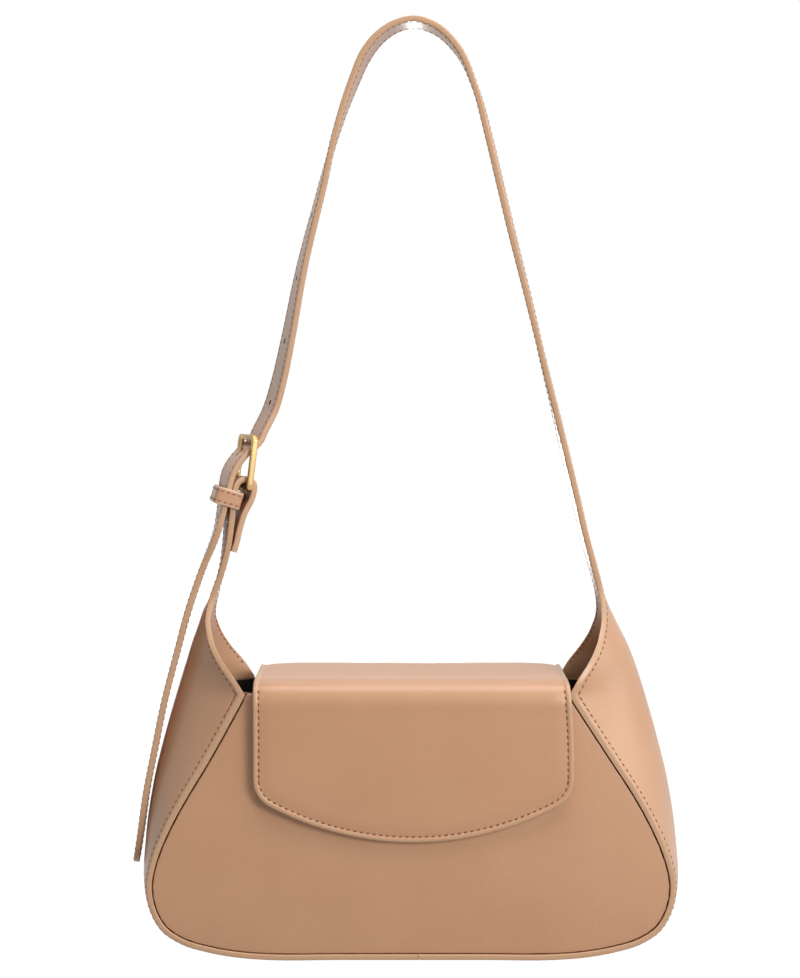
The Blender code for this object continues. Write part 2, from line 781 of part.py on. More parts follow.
def build_prong():
    gold = finish("buckle_prong", gold_colour, 0.25, 1.0)
    outer, inner = [], []
    for k in range(20):
        angle = math.tau * k / 20
        spoke = inward * math.cos(angle) + upward * math.sin(angle)
        outer.append([pivot + spoke * ring_outer + across * (prong_ring_width * e)
                      for e in (-0.5, 0.5)])
        inner.append([pivot + spoke * ring_inner + across * (prong_ring_width * e)
                      for e in (-0.5, 0.5)])
    ring = slab("buckle_prong", outer, inner, gold, ring=True)
    line = smooth(prong_line, 2)
    slopes = np.gradient(line, axis=0)
    sections = []
    for (u, s), (du, ds) in zip(line, slopes):
        ahead = (inward * du + upward * ds).normalized()
        sections.append(circle(at_buckle(u, s), ahead.cross(across), across, prong_radius,
                               prong_sides))
    shank = sweep("prong_shank", sections, cutter_finish)
    combine(ring, shank, "UNION")


build_prong()


# Holes: the prong's own, drawn long by it, the free ones above it, and one in the tail

def path_of(places):
    return np.concatenate([[0], np.cumsum(np.linalg.norm(np.diff(places, axis=0), axis=1))])


strap_path = path_of(strap_places)
prong_cross_share = (-0.063, 0.551)
prong_hole_place = at_buckle(frame_length * prong_cross_share[0],
                             frame_length * prong_cross_share[1])
nearest = int(np.argmin(np.linalg.norm(strap_places - np.array(prong_hole_place), axis=1)))


def strap_point(distance):
    return np.array([np.interp(distance, strap_path, strap_places[:, i]) for i in range(3)])


def strap_hole(name, distance):
    middle = strap_point(distance)
    ahead = Vector(strap_point(distance + strap_thickness) - middle).normalized()
    turn = math.radians(float(np.interp(distance, strap_path, strap_turns)))
    width = Vector((-math.sin(turn), math.cos(turn), 0))
    tool = rod_tool(name, middle, ahead.cross(width), hole_radius, strap_thickness * 4, 12)
    combine(long_strap, tool, "DIFFERENCE")


prong_distance = strap_path[nearest]
for number in range(hole_count):
    strap_hole("free_hole_%d" % number, prong_distance - hole_pitch * (number + 1))
for number in range(tail_hole_count):
    strap_hole("tail_hole_%d" % number, prong_distance + hole_pitch * (number + 1))

prong_slope = (prong_line[5][0] - prong_line[3][0], prong_line[5][1] - prong_line[3][1])
prong_hole = rod_tool("prong_hole", prong_hole_place,
                      inward * prong_slope[0] + upward * prong_slope[1],
                      prong_radius + prong_clearance, strap_thickness * 5, 16)
combine(long_strap, prong_hole, "DIFFERENCE")


# Short strap: up from the left root, loose round the pivot bar, folded back and sewn
# Root: x as a share of strap_span, depth of strap_width, height of pivot_rise, and turn
short_root_shares = [(-1.068, 0.00, -0.208, 0.0), (-1.030, 0.00, 0.000, 0.0),
                     (-1.002, 0.00, 0.066, 1.0), (-0.966, -0.03, 0.282, 5.0),
                     (-0.946, -0.065, 0.4585, 8.5)]
rising_shares = [(-0.247, -0.493, 0.66), (-0.237, -0.270, 0.74), (-0.218, -0.050, 0.86),
                 (-0.172, 0.085, 0.95)]
fold_shares = [(-0.070, 0.140, 1.0)]
falling_shares = [(0.080, -0.265, 0.94), (-0.020, -0.476, 0.84), (-0.095, -0.767, 0.72),
                  (-0.165, -1.024, 0.66), (-0.215, -1.180, 0.6)]
loop_radius = pivot_radius + half_ply + bar_clearance / 2
loop_angles = (70.0, 30.0, -10.0, -45.0)


def build_short_strap():
    rows = [(strap_span * x, strap_width * y, root_height + pivot_rise * z, turn)
            for x, y, z, turn in short_root_shares]
    local = [(frame_length * u, frame_length * s, turn) for u, s, turn in rising_shares + fold_shares]
    local += [(loop_radius * math.cos(math.radians(a)), loop_radius * math.sin(math.radians(a)), 1.0)
              for a in loop_angles]
    local += [(frame_length * u, frame_length * s, turn) for u, s, turn in falling_shares]
    rows += [(*at_buckle(u, s), buckle_turn * turn) for u, s, turn in local]
    places, turns = route_curve(rows, 3)
    places, turns = trimmed_root(places, turns)
    places, turns = refine_start(places, turns, strap_half, 8)
    halves = np.maximum(root_halves(places), least_half)
    halves[np.argmax(places[:, 2]):] = strap_half
    strap = band("short_strap", places, turns, halves, finish("short_strap", camel_colour, 0.42))
    slot_low = -(ring_outer + gap * 3)
    slot_high = frame_length / 3
    slot_half = prong_ring_width / 2 + gap * 2
    corners = [(-slot_high, -slot_half), (slot_high, -slot_half), (slot_high, slot_half),
               (-slot_high, slot_half)]
    slot = sweep("prong_slot", [[at_buckle(u, s, v) for u, v in corners]
                                for s in (slot_low, slot_high)], cutter_finish)
    combine(strap, slot, "DIFFERENCE")


build_short_strap()


# Buckle frame: a rounded rectangle of flat bar whose lower side is the round pivot bar

def build_frame():
    gold = finish("buckle_frame", gold_colour, 0.22, 1.0)
    half_v = strap_half + frame_clearance + bar_width / 2
    half_e = bar_reach / 2
    loop = rounded_loop(half_v, half_e, bar_width, 4)
    loop = np.array(loop)
    ahead = np.roll(loop, -1, axis=0) - np.roll(loop, 1, axis=0)
    sections = []
    for (v, e), (dv, de) in zip(loop, ahead):
        length = math.hypot(dv, de)
        out = across * (de / length) - frame_up * (dv / length)
        middle = pivot + across * v + frame_up * (e + half_e)
        low = e <= -half_e + gap
        half_out = pivot_radius if low else bar_width / 2
        half_face = pivot_radius if low else bar_depth / 2
        power = 1.0 if low else 0.45
        section = []
        for k in range(12):
            angle = math.tau * k / 12
            c, s = math.cos(angle), math.sin(angle)
            a = math.copysign(abs(c) ** power, c) * half_out
            b = math.copysign(abs(s) ** power, s) * half_face
            section.append(middle + out * a + frame_out * b)
        sections.append(section)
    sweep("buckle_frame", sections, gold, ring=True)


build_frame()


# Keeper: a sewn loop round the tail and the outer ply of the short strap
# Middle of the loop, inwards and upwards from the pivot as shares of frame_length
keeper_middle_share = (-0.312, -0.196)
keeper_half_share = 0.236


def build_keeper():
    tilt = math.radians(keeper_tilt)
    turn = math.radians(keeper_turn)
    level = Vector((math.cos(turn), math.sin(turn), 0))
    wide = Vector((-math.sin(turn), math.cos(turn), 0))
    side_way = level * math.cos(tilt) - upward * math.sin(tilt)
    along = level * math.sin(tilt) + upward * math.cos(tilt)
    middle = at_buckle(frame_length * keeper_middle_share[0],
                       frame_length * keeper_middle_share[1])
    half_a = frame_length * keeper_half_share - keeper_thickness / 2
    half_b = strap_half + keeper_slack
    loops = [rounded_loop(half_a + wall, half_b + wall, keeper_corner + wall - keeper_thickness / 2,
                          4) for wall in (keeper_thickness, 0.0)]
    grids = []
    for loop in loops:
        grids.append([[middle + side_way * a + wide * b + along * (keeper_height * e)
                       for e in (-0.5, 0.5)] for a, b in loop])
    slab("keeper_loop", grids[0], grids[1], finish("keeper_loop", camel_colour, 0.42), ring=True)


build_keeper()
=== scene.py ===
"""A structured faux leather shoulder bag with a flap, a belt buckle and a sliding keeper."""

import math

import bmesh
import bpy
import numpy as np
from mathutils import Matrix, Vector


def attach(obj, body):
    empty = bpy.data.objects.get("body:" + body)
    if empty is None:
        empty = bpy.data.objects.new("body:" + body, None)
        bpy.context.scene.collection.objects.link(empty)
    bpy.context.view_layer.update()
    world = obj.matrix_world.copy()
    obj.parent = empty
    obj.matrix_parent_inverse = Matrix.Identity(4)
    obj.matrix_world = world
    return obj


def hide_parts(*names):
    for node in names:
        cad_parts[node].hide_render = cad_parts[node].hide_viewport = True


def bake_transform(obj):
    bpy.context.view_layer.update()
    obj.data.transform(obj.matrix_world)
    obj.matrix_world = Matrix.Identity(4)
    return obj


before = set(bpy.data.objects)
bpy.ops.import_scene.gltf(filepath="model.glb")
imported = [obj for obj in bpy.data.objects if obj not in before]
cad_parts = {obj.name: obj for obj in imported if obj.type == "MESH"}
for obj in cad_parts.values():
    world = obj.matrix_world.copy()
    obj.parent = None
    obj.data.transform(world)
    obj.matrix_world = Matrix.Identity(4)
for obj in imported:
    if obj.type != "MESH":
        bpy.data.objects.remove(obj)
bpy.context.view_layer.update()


# Side bands
# Two long strips of laminated faux leather wrap the base and sides, one to each half of the bag.
# Each narrows above the mouth and runs on as a strap: the right one goes over the shoulder, through
# the buckle and down to its free tail, and the left one folds round the buckle's bar.

body_half_width = 0.1442
shoulder_height = 0.1385
half_depth = 0.042
shoulder_half_depth = 0.038
rim_thickness = 0.003
seam_place = 0.004
seam_gap = 0.0003
seam_slant = 0.0006
edge_lean = 0.0028
crown_lean = 0.0029
mouth_share = 0.608
root_height = 0.186
strap_span = 0.7282 * body_half_width
strap_rise = 0.3098
strap_width = 0.025
strap_thickness = 0.0032
wing_thickness = 0.0028
strap_half = strap_width / 2
half_ply = strap_thickness / 2

# Rim x, rim z, crown x and crown z, as shares of the body's half width and shoulder height
side_shares = [
    (0.277, 0.000, 0.277, 0.000), (0.520, 0.000, 0.520, 0.000), (0.638, 0.010, 0.645, 0.004),
    (0.742, 0.030, 0.763, 0.016), (0.832, 0.059, 0.867, 0.051), (0.902, 0.107, 0.940, 0.108),
    (0.945, 0.182, 0.983, 0.195), (0.961, 0.278, 1.000, 0.296), (0.942, 0.378, 0.997, 0.404),
    (0.892, 0.504, 0.984, 0.534), (0.825, 0.631, 0.964, 0.657), (0.748, 0.758, 0.935, 0.780),
    (0.675, 0.883, 0.902, 0.906), (mouth_share, 1.000, 0.867, 1.024),
]
# Edge x, edge z, crown x, crown z and depth above the shoulder; heights are shares of the way from
# the shoulder to the root, and depth is a share of its change
wing_shares = [
    (mouth_share, 0.000, 0.867, 0.069, 1.000), (0.638, 0.147, 0.841, 0.274, 0.969),
    (0.683, 0.331, 0.816, 0.480, 0.804), (0.717, 0.516, 0.790, 0.663, 0.569),
    (0.736, 0.699, 0.767, 0.832, 0.306),
]
edge_lean_shares = (0.62, 1.20)
crown_lean_shares = (1.05, 1.44)
waist = 0.0009
waist_low = (0.14, 0.36)
waist_high = (0.94, 1.16)


def smooth(points, steps):
    """An even curve through the points, with the given number of steps to each gap."""
    p = np.array(points, dtype=float)
    chord = np.maximum(np.linalg.norm(np.diff(p, axis=0), axis=1), 1e-9)
    slope = np.diff(p, axis=0) / chord[:, None]
    tangent = np.vstack([slope[:1], slope[-1:]])
    if len(p) > 2:
        before, after = chord[:-1, None], chord[1:, None]
        middle = (slope[:-1] * after + slope[1:] * before) / (before + after)
        tangent = np.vstack([slope[:1], middle, slope[-1:]])
    curve = []
    for i, length in enumerate(chord):
        for k in range(steps):
            s = k / steps
            curve.append(
                (2 * s**3 - 3 * s**2 + 1) * p[i]
                + (s**3 - 2 * s**2 + s) * length * tangent[i]
                + (3 * s**2 - 2 * s**3) * p[i + 1]
                + (s**3 - s**2) * length * tangent[i + 1]
            )
    curve.append(p[-1])
    return np.array(curve)


def sideways(line, amount):
    """A flat line moved to its left by the amount, mitred at its corners."""
    step = np.diff(line, axis=0)
    left = np.stack([-step[:, 1], step[:, 0]], axis=1)
    left /= np.linalg.norm(left, axis=1)[:, None]
    before = np.vstack([left[:1], left])
    after = np.vstack([left, left[-1:]])
    both = 1 + np.sum(before * after, axis=1)
    amount = np.broadcast_to(amount, (len(line),))
    return line + (amount / both)[:, None] * (before + after)


def ease(value, low, high):
    """A smooth rise from 0 at low to 1 at high."""
    share = np.clip((value - low) / (high - low), 0.0, 1.0)
    return share * share * (3 - 2 * share)


def unit(vectors):
    """Vectors brought to length 1 along the last axis."""
    vectors = np.asarray(vectors, dtype=float)
    return vectors / np.maximum(np.linalg.norm(vectors, axis=-1, keepdims=True), 1e-12)


def path_of(places):
    """Distance run at each place of a line."""
    steps = np.linalg.norm(np.diff(places, axis=0), axis=1)
    return np.concatenate([[0], np.cumsum(steps)])


def line_at(stops, run, line):
    """Places of a line at the given distances along it."""
    return np.stack([np.interp(stops, run, column) for column in np.transpose(line)], axis=-1)


def gusset_lines(side, steps=4):
    """Rim line, crown line, half depth and thickness along one half of the gusset."""
    start = seam_place * side + seam_gap / 2
    low = np.array(side_shares) * (body_half_width, shoulder_height, body_half_width,
                                   shoulder_height)
    low = smooth([(start, 0.0, start, 0.0), *low], steps)
    wing_height = root_height - shoulder_height
    high = []
    for edge_x, edge_z, crown_x, crown_z, depth in wing_shares:
        high.append((edge_x * body_half_width, shoulder_height + edge_z * wing_height,
                     crown_x * body_half_width, shoulder_height + crown_z * wing_height,
                     strap_half + depth * (shoulder_half_depth - strap_half)))
    high = smooth(high, steps)
    rim = np.vstack([low[:-1, 0:2], high[:, 0:2]])
    crown = np.vstack([low[:-1, 2:4], high[:, 2:4]])
    taper = (half_depth - shoulder_half_depth) * low[:-1, 1] / shoulder_height
    depth = np.concatenate([half_depth - taper, high[:, 4]])
    thickness = np.where(np.arange(len(rim)) < len(low) - 1, rim_thickness, wing_thickness)
    rim[:, 0] -= side * edge_lean * ease(rim[:, 1] / shoulder_height, *edge_lean_shares)
    crown[:, 0] -= side * crown_lean * ease(crown[:, 1] / shoulder_height, *crown_lean_shares)
    crown[:, 0] -= waist * (ease(crown[:, 1] / shoulder_height, *waist_low)
                            - ease(crown[:, 1] / shoulder_height, *waist_high))
    return rim, crown, depth, thickness, len(low) - 1


def crown_at(side, z):
    """How far the crown stands out at a height above the corner."""
    crown = gusset_lines(side, 2)[1]
    widest = int(np.argmax(crown[:, 0]))
    return float(np.interp(z, crown[widest:, 1], crown[widest:, 0]))


rim_stitch_inset = 0.0019
tip_stitch_inset = 0.0021
strap_stitch_inset = 0.0025

# A station is fifteen numbers: the middle and the swell of the outer face, the same of the inner
# face, and the half width as a vector; a sixteenth is how far the stitches lie from the edge


def gusset_stations(side):
    """Stations of one half of the gusset, from the base seam to below the root."""
    rim, crown, depth, thickness, shoulder = gusset_lines(side)
    rim_in, crown_in = sideways(rim, thickness), sideways(crown, thickness)
    stations = []
    for i in range(len(rim)):
        swell, swell_in = crown[i] - rim[i], crown_in[i] - rim_in[i]
        inset = np.interp(i, [shoulder - 14, shoulder - 1, shoulder + 2],
                          [rim_stitch_inset, tip_stitch_inset, strap_stitch_inset])
        stations.append([side * rim[i][0], 0, rim[i][1], side * swell[0], 0, swell[1],
                         side * rim_in[i][0], 0, rim_in[i][1], side * swell_in[0], 0, swell_in[1],
                         0, depth[i], 0, inset])
    stations[0][0] += seam_slant
    stations[0][6] -= seam_slant
    return stations


def strap_stations(side, places, turns, halves):
    """Stations of a flat strap along its middle line, from its root on one side of the bag."""
    tangents = unit(np.gradient(places, axis=0))
    angles = np.radians(turns)
    widths = np.stack([-np.sin(angles), np.cos(angles), np.zeros(len(angles))], axis=1)
    widths = unit(widths - tangents * np.sum(widths * tangents, axis=1)[:, None])
    out = np.cross(widths, tangents) * half_ply * side
    stations = []
    for place, wide, half, up in zip(places, widths, halves, out):
        stations.append([*(place + up), 0, 0, 0, *(place - up), 0, 0, 0, *(wide * half),
                         strap_stitch_inset])
    return stations


def joined_stations(low, high, steps):
    """The gusset's stations and the strap's, with a smooth stretch between them."""
    bridge = smooth([low[-2], low[-1], high[0], high[1]], steps)[steps + 1:2 * steps]
    return np.array([*low, *bridge, *high])


corner_radius = 0.0006
groove_depth = 0.00018
groove_half = 0.00045
groove_reach = 0.0006
groove_shoulder = 0.0018
softening = 14
soft_stations = 6.0
soft_border = (0.001, 0.013)
edge_columns = 3
middle_columns = 9


def across_face(station):
    """Shares of the half width over a station's outer face, and the distance run to each."""
    swell, width = station[3:6], station[12:15]
    share = np.linspace(0, 1, 60)
    steps = np.hypot(np.linalg.norm(width),
                     2 * np.linalg.norm(swell) * (share[1:] + share[:-1]) / 2) * np.diff(share)
    return share, np.concatenate([[0], np.cumsum(steps)])


def section(station):
    """One closed section: outer face, rounded back edge, inner face and rounded front edge."""
    mid, swell, mid_in, swell_in, width = station[:15].reshape(5, 3)
    scale = min(1.0, np.linalg.norm(width) / strap_half)
    radius, inset = corner_radius * scale, station[15] * scale
    near = np.array([radius, inset * 0.5, inset - groove_reach * scale, inset,
                     inset + groove_reach * scale, inset + groove_shoulder * scale])
    share, run = across_face(station)
    side = np.interp(run[-1] - near, run, share)
    middle = np.linspace(-side[-1], side[-1], middle_columns + 2)[1:-1]
    shares = np.concatenate([[-1], -side, middle, side[::-1], [1]])
    outer = mid + np.outer(shares, width) + np.outer(1 - shares**2, swell)
    inner = mid_in + np.outer(shares, width) + np.outer(1 - shares**2, swell_in)
    border = np.concatenate([[0], near, np.full(middle_columns, run[-1]), near[::-1], [0]])
    groove = groove_depth * scale * np.exp(-((border - inset) / (groove_half * scale))**2)
    sunk = groove[:, None] * unit(inner - outer)
    faces, sunk_faces = (outer, inner), (outer + sunk, inner - sunk)
    loop, edge = [], []
    for first, end in ((0, 1), (1, -1)):
        loop += list(sunk_faces[first][::end][1:-1])
        corners = []
        for k in (first, 1 - first):
            before, corner = faces[k][::end][-2:]
            across = unit(corner - before)
            through = unit(faces[1 - k][::end][-1] - corner)
            centre = corner - across * radius + through * radius
            corners.append([centre + across * radius * math.sin(a) - through * radius * math.cos(a)
                            for a in np.radians((30, 60, 90))])
        loop += corners[0] + corners[1][::-1]
        edge += list(border[1:-1]) + [0] * (2 * edge_columns)
    return np.array(loop), np.array(edge)


def wrap(name, sections, borders=None, closed=False):
    """A grid rolled through closed sections. Its seam is merged, and its ends closed by quads."""
    sections = np.asarray(sections)
    if closed:
        sections = np.concatenate([sections, sections[:1]])
    rows, columns = sections.shape[:2]
    bpy.ops.object.select_all(action="DESELECT")
    bpy.ops.mesh.primitive_grid_add(x_subdivisions=columns, y_subdivisions=rows - 1, size=1)
    piece = bpy.context.object
    piece.name = piece.data.name = name
    places = np.concatenate([sections, sections[:, :1]], axis=1)
    piece.data.vertices.foreach_set("co", places.reshape(-1))
    if borders is not None:
        borders = np.asarray(borders)
        if closed:
            borders = np.concatenate([borders, borders[:1]])
        borders = np.concatenate([borders, borders[:, :1]], axis=1)
        layer = piece.data.attributes.new("border", "FLOAT", "POINT")
        layer.data.foreach_set("value", borders.reshape(-1).astype(np.float32))
    edit = bmesh.new()
    edit.from_mesh(piece.data)
    edit.verts.ensure_lookup_table()
    if not closed:
        for first in (0, (rows - 1) * (columns + 1)):
            for j in range(columns // 2 - 1):
                corners = (j, j + 1, columns - 2 - j, columns - 1 - j)
                edit.faces.new([edit.verts[first + c] for c in corners])
    bmesh.ops.remove_doubles(edit, verts=edit.verts, dist=1e-7)
    bmesh.ops.recalc_face_normals(edit, faces=edit.faces)
    if edit.calc_volume(signed=True) < 0:
        bmesh.ops.reverse_faces(edit, faces=edit.faces)
    edit.to_mesh(piece.data)
    edit.free()
    return piece


def loft(name, stations, tip):
    """A laminated strip through its stations, softened past the V tip away from its edges."""
    made = [section(station) for station in stations]
    places, borders = np.array([m[0] for m in made]), np.array([m[1] for m in made])
    rounded = places.copy()
    for _ in range(softening):
        rounded[1:-1] = (rounded[:-2] + 2 * rounded[1:-1] + rounded[2:]) / 4
    near_tip = np.exp(-((np.arange(len(places)) - tip) / soft_stations) ** 2)
    share = ease(borders, *soft_border) * near_tip[:, None]
    return wrap(name, places + (rounded - places) * share[..., None], borders)


# The left strip's strap: x as a share of the span, depth of the strap's width, height of the
# pivot's rise, and turn in degrees; then places at the buckle as shares of its length and turn
pivot_place = 0.8628 * strap_span
pivot_rise = 0.0602
buckle_turn = 18.0
frame_length = 0.0296
frame_lean = 7.0
frame_clearance = 0.001
bar_width = 0.003
bar_depth = 0.0032
pivot_radius = 0.0014
bar_clearance = 0.0012
short_root_shares = [(-1.002, 0.00, 0.066, 1.0), (-0.966, -0.03, 0.282, 5.0),
                     (-0.946, -0.065, 0.4585, 8.5)]
rising_shares = [(-0.247, -0.493, 0.66), (-0.237, -0.270, 0.74), (-0.218, -0.050, 0.86),
                 (-0.172, 0.085, 0.95), (-0.070, 0.140, 1.0)]
falling_shares = [(0.112, -0.088, 0.98), (0.098, -0.155, 0.96), (0.058, -0.265, 0.94),
                  (-0.043, -0.476, 0.84), (-0.120, -0.767, 0.72), (-0.175, -1.024, 0.66),
                  (-0.220, -1.180, 0.6)]
loop_radius = pivot_radius + half_ply + bar_clearance / 2
loop_angles = (70.0, 30.0, -10.0)

turn_angle = math.radians(buckle_turn)
inward = np.array((math.cos(turn_angle), math.sin(turn_angle), 0.0))
across = np.array((-math.sin(turn_angle), math.cos(turn_angle), 0.0))
upward = np.array((0.0, 0.0, 1.0))
pivot = np.array((-pivot_place, 0.0, root_height + pivot_rise))


def at_buckle(u, s, v=0.0):
    """A point given inwards, upwards and across from the buckle's pivot."""
    return pivot + inward * u + upward * s + across * v


def at_frame(u, s, turn=1.0):
    """A row of a route: a place in shares of the frame's length, and a share of its turn."""
    return (*at_buckle(frame_length * u, frame_length * s), buckle_turn * turn)


def route(rows, steps):
    """Places and turns along a strap."""
    places = smooth([row[:3] for row in rows], steps)
    stops = np.arange(len(rows)) * steps
    return places, np.interp(np.arange(len(places)), stops, [row[3] for row in rows])


rows = [(strap_span * x, strap_width * y, root_height + pivot_rise * z, turn)
        for x, y, z, turn in short_root_shares]
rows += [at_frame(*row) for row in rising_shares]
rows += [(*at_buckle(loop_radius * math.cos(a), loop_radius * math.sin(a)), buckle_turn)
         for a in map(math.radians, loop_angles)]
rows += [at_frame(*row) for row in falling_shares]
places, turns = route(rows, 6)
left_strap = strap_stations(-1, places, turns, np.full(len(places), strap_half))
left_stations = joined_stations(gusset_stations(-1), left_strap, 6)
left_band = loft("left_band", left_stations, gusset_lines(-1)[4])

# The right strip's strap: x, depth and height as shares of its span and rise, and turn
arch_shares = [
    (0.958, 0.000, 0.027, 0.0),
    (0.936, 0.000, 0.055, 0.0), (0.891, 0.000, 0.111, 0.0), (0.847, 0.000, 0.175, 0.0),
    (0.762, 0.000, 0.296, -1.0), (0.683, 0.000, 0.406, -3.0), (0.621, 0.000, 0.495, -5.0),
    (0.511, 0.000, 0.643, -6.0), (0.457, 0.000, 0.719, -6.0), (0.396, 0.000, 0.805, -6.0),
    (0.336, 0.000, 0.879, -5.0), (0.234, 0.000, 0.953, -2.0), (0.125, 0.000, 0.987, -1.0),
    (0.013, 0.000, 0.998, 0.0), (-0.092, 0.000, 0.988, -3.0), (-0.170, 0.000, 0.968, -5.0),
    (-0.227, 0.000, 0.943, -6.0), (-0.2915, 0.002, 0.895, -4.0), (-0.397, 0.005, 0.790, 2.0),
    (-0.448, 0.011, 0.721, 7.0), (-0.559, 0.029, 0.574, 11.0), (-0.634, 0.043, 0.446, 14.5),
    (-0.679, 0.048, 0.377, 16.5),
]
approach_shares = [(0.520, 1.385), (0.330, 1.015)]
crossing_shares = [(0.040, 0.650, 1.0), (-0.152, 0.432, 1.0), (-0.245, 0.267, 0.97),
                   (-0.298, 0.101, 0.88), (-0.343, -0.159, 0.73), (-0.381, -0.375, 0.57),
                   (-0.455, -0.730, 0.40)]
# The tail: its free point, then height, gap to the gusset, depth and turn
tail_gap = 0.0023
tail_free_share = (-1.067, 0.0521, -0.08, 3.0)
tail_shares = [(0.972, 2.30, -0.08, 3.0), (0.839, 2.02, -0.10, 4.0), (0.704, 1.48, -0.14, 4.0),
               (0.570, 0.68, -0.16, 4.0), (0.438, 0.42, -0.16, 4.0), (0.322, 0.57, -0.16, 4.0),
               (0.2365, 1.25, -0.16, 4.0)]
tail_tip_length = strap_width * 0.42
bar_reach = frame_length - bar_width
frame_tilt = math.radians(frame_lean)
top_bar = (bar_reach * math.sin(frame_tilt), bar_reach * math.cos(frame_tilt))
strap_slant = math.radians(-40.5)
top_pass = bar_width / 2 + bar_clearance + half_ply

rows = [(strap_span * x, strap_span * y, root_height + strap_rise * z, turn)
        for x, y, z, turn in arch_shares]
rows += [at_frame(*row) for row in approach_shares]
rows.append((*at_buckle(top_bar[0] + top_pass * math.cos(strap_slant),
                        top_bar[1] + top_pass * math.sin(strap_slant)), buckle_turn))
rows += [at_frame(*row) for row in crossing_shares]
x, z, y, turn = tail_free_share
rows.append((strap_span * x, strap_width * y, root_height + strap_rise * z, turn))
for height, clear, y, turn in tail_shares:
    z = root_height * height
    rows.append((-(crown_at(-1, z) + tail_gap * clear + half_ply), strap_width * y, z, turn))
long_places, long_turns = route(rows, 6)
run = path_of(long_places)
tip_stops = run[-1] - tail_tip_length * (1 - np.cos(np.linspace(0, math.pi / 2, 12)))[::-1]
stops = np.concatenate([run[run < tip_stops[0]], tip_stops])
long_turns = np.interp(stops, run, long_turns)
long_places = line_at(stops, run, long_places)
tip_share = np.clip((stops - tip_stops[0]) / tail_tip_length, 0, 1)
long_halves = np.maximum(strap_half * np.sqrt(1 - tip_share**2), strap_half * 0.12)
right_stations = joined_stations(gusset_stations(1),
                                 strap_stations(1, long_places, long_turns, long_halves), 6)
right_band = loft("right_band", right_stations, gusset_lines(1)[4])


def pick(*pieces):
    """Select these pieces alone, the first as the active one."""
    bpy.ops.object.select_all(action="DESELECT")
    for piece in pieces:
        piece.select_set(True)
    bpy.context.view_layer.objects.active = pieces[0]


def cut(piece, tool):
    """Take the tool out of the piece."""
    pick(piece)
    modifier = piece.modifiers.new("cut", "BOOLEAN")
    modifier.operation = "DIFFERENCE"
    modifier.solver = "EXACT"
    modifier.object = tool
    bpy.ops.object.modifier_apply(modifier=modifier.name)
    bpy.data.objects.remove(tool)


def round_bar(middle, axis, radius, length, sides=24):
    """A round bar or punch along an axis."""
    turn = Vector(axis).to_track_quat("Z", "Y").to_euler()
    bpy.ops.object.select_all(action="DESELECT")
    bpy.ops.mesh.primitive_cylinder_add(vertices=sides, radius=radius, depth=length,
                                        location=middle, rotation=turn)
    return bpy.context.object


# Punched holes: the prong's own, four free ones above it and one in the tail
hole_radius = 0.0016
hole_pitch = 0.0345
prong_radius = 0.0011
prong_clearance = 0.0007
prong_ring_wall = 0.0011
prong_ring_width = 0.003
prong_cross_share = (-0.063, 0.551)
prong_shares = [(0.00, -0.02), (0.00, 0.135), (0.003, 0.30), (0.022, 0.47), (0.050, 0.62),
                (0.078, 0.78), (0.086, 0.94)]
ring_inner = pivot_radius + seam_gap
ring_outer = ring_inner + prong_ring_wall
shank_u = -(ring_inner + prong_radius + seam_gap / 2)
prong_line = [(shank_u + frame_length * u, frame_length * s) for u, s in prong_shares]

run = path_of(long_places)
prong_crossing = np.array(at_frame(*prong_cross_share)[:3])
prong_run = run[int(np.argmin(np.linalg.norm(long_places - prong_crossing, axis=1)))]
holes = []
for number in (-4, -3, -2, -1, 1):
    stop = prong_run + hole_pitch * number
    middle, ahead = line_at((stop, stop + half_ply), run, long_places)
    angle = math.radians(float(np.interp(stop, run, long_turns)))
    axis = unit(np.cross(ahead - middle, (-math.sin(angle), math.cos(angle), 0)))
    holes.append((middle, axis))
    cut(right_band, round_bar(middle, axis, hole_radius, strap_thickness * 3))
slope = (inward * (prong_line[5][0] - prong_line[3][0])
         + upward * (prong_line[5][1] - prong_line[3][1]))
cut(right_band, round_bar(prong_crossing, slope, prong_radius + prong_clearance,
                          strap_thickness * 4))

slot_half = prong_ring_width / 2 + seam_gap * 2
slot_low = -(ring_outer + seam_gap * 3)
slot_high = frame_length / 3
bpy.ops.object.select_all(action="DESELECT")
bpy.ops.mesh.primitive_cube_add(size=1, location=at_buckle(0, (slot_low + slot_high) / 2),
                                rotation=(0, 0, turn_angle))
bpy.context.object.scale = (2 * slot_high, 2 * slot_half, slot_high - slot_low)
bpy.ops.object.transform_apply()
cut(left_band, bpy.context.object)


# Leather finish
# Smooth polyurethane leather: a fine even grain, slow changes of tone, and painted raw edges that
# are a little paler. One group serves every leather piece, and each material gives its own colours;
# on the panels' turned borders and the holes' walls, that edge colour is dark painted shade.

def new_group(name, inputs, outputs):
    """An empty shader group with the named sockets."""
    group = bpy.data.node_groups.new(name, "ShaderNodeTree")
    for label, kind, value in inputs:
        socket = group.interface.new_socket(name=label, in_out="INPUT", socket_type=kind)
        socket.default_value = value
    for label, kind in outputs:
        group.interface.new_socket(name=label, in_out="OUTPUT", socket_type=kind)
    return group


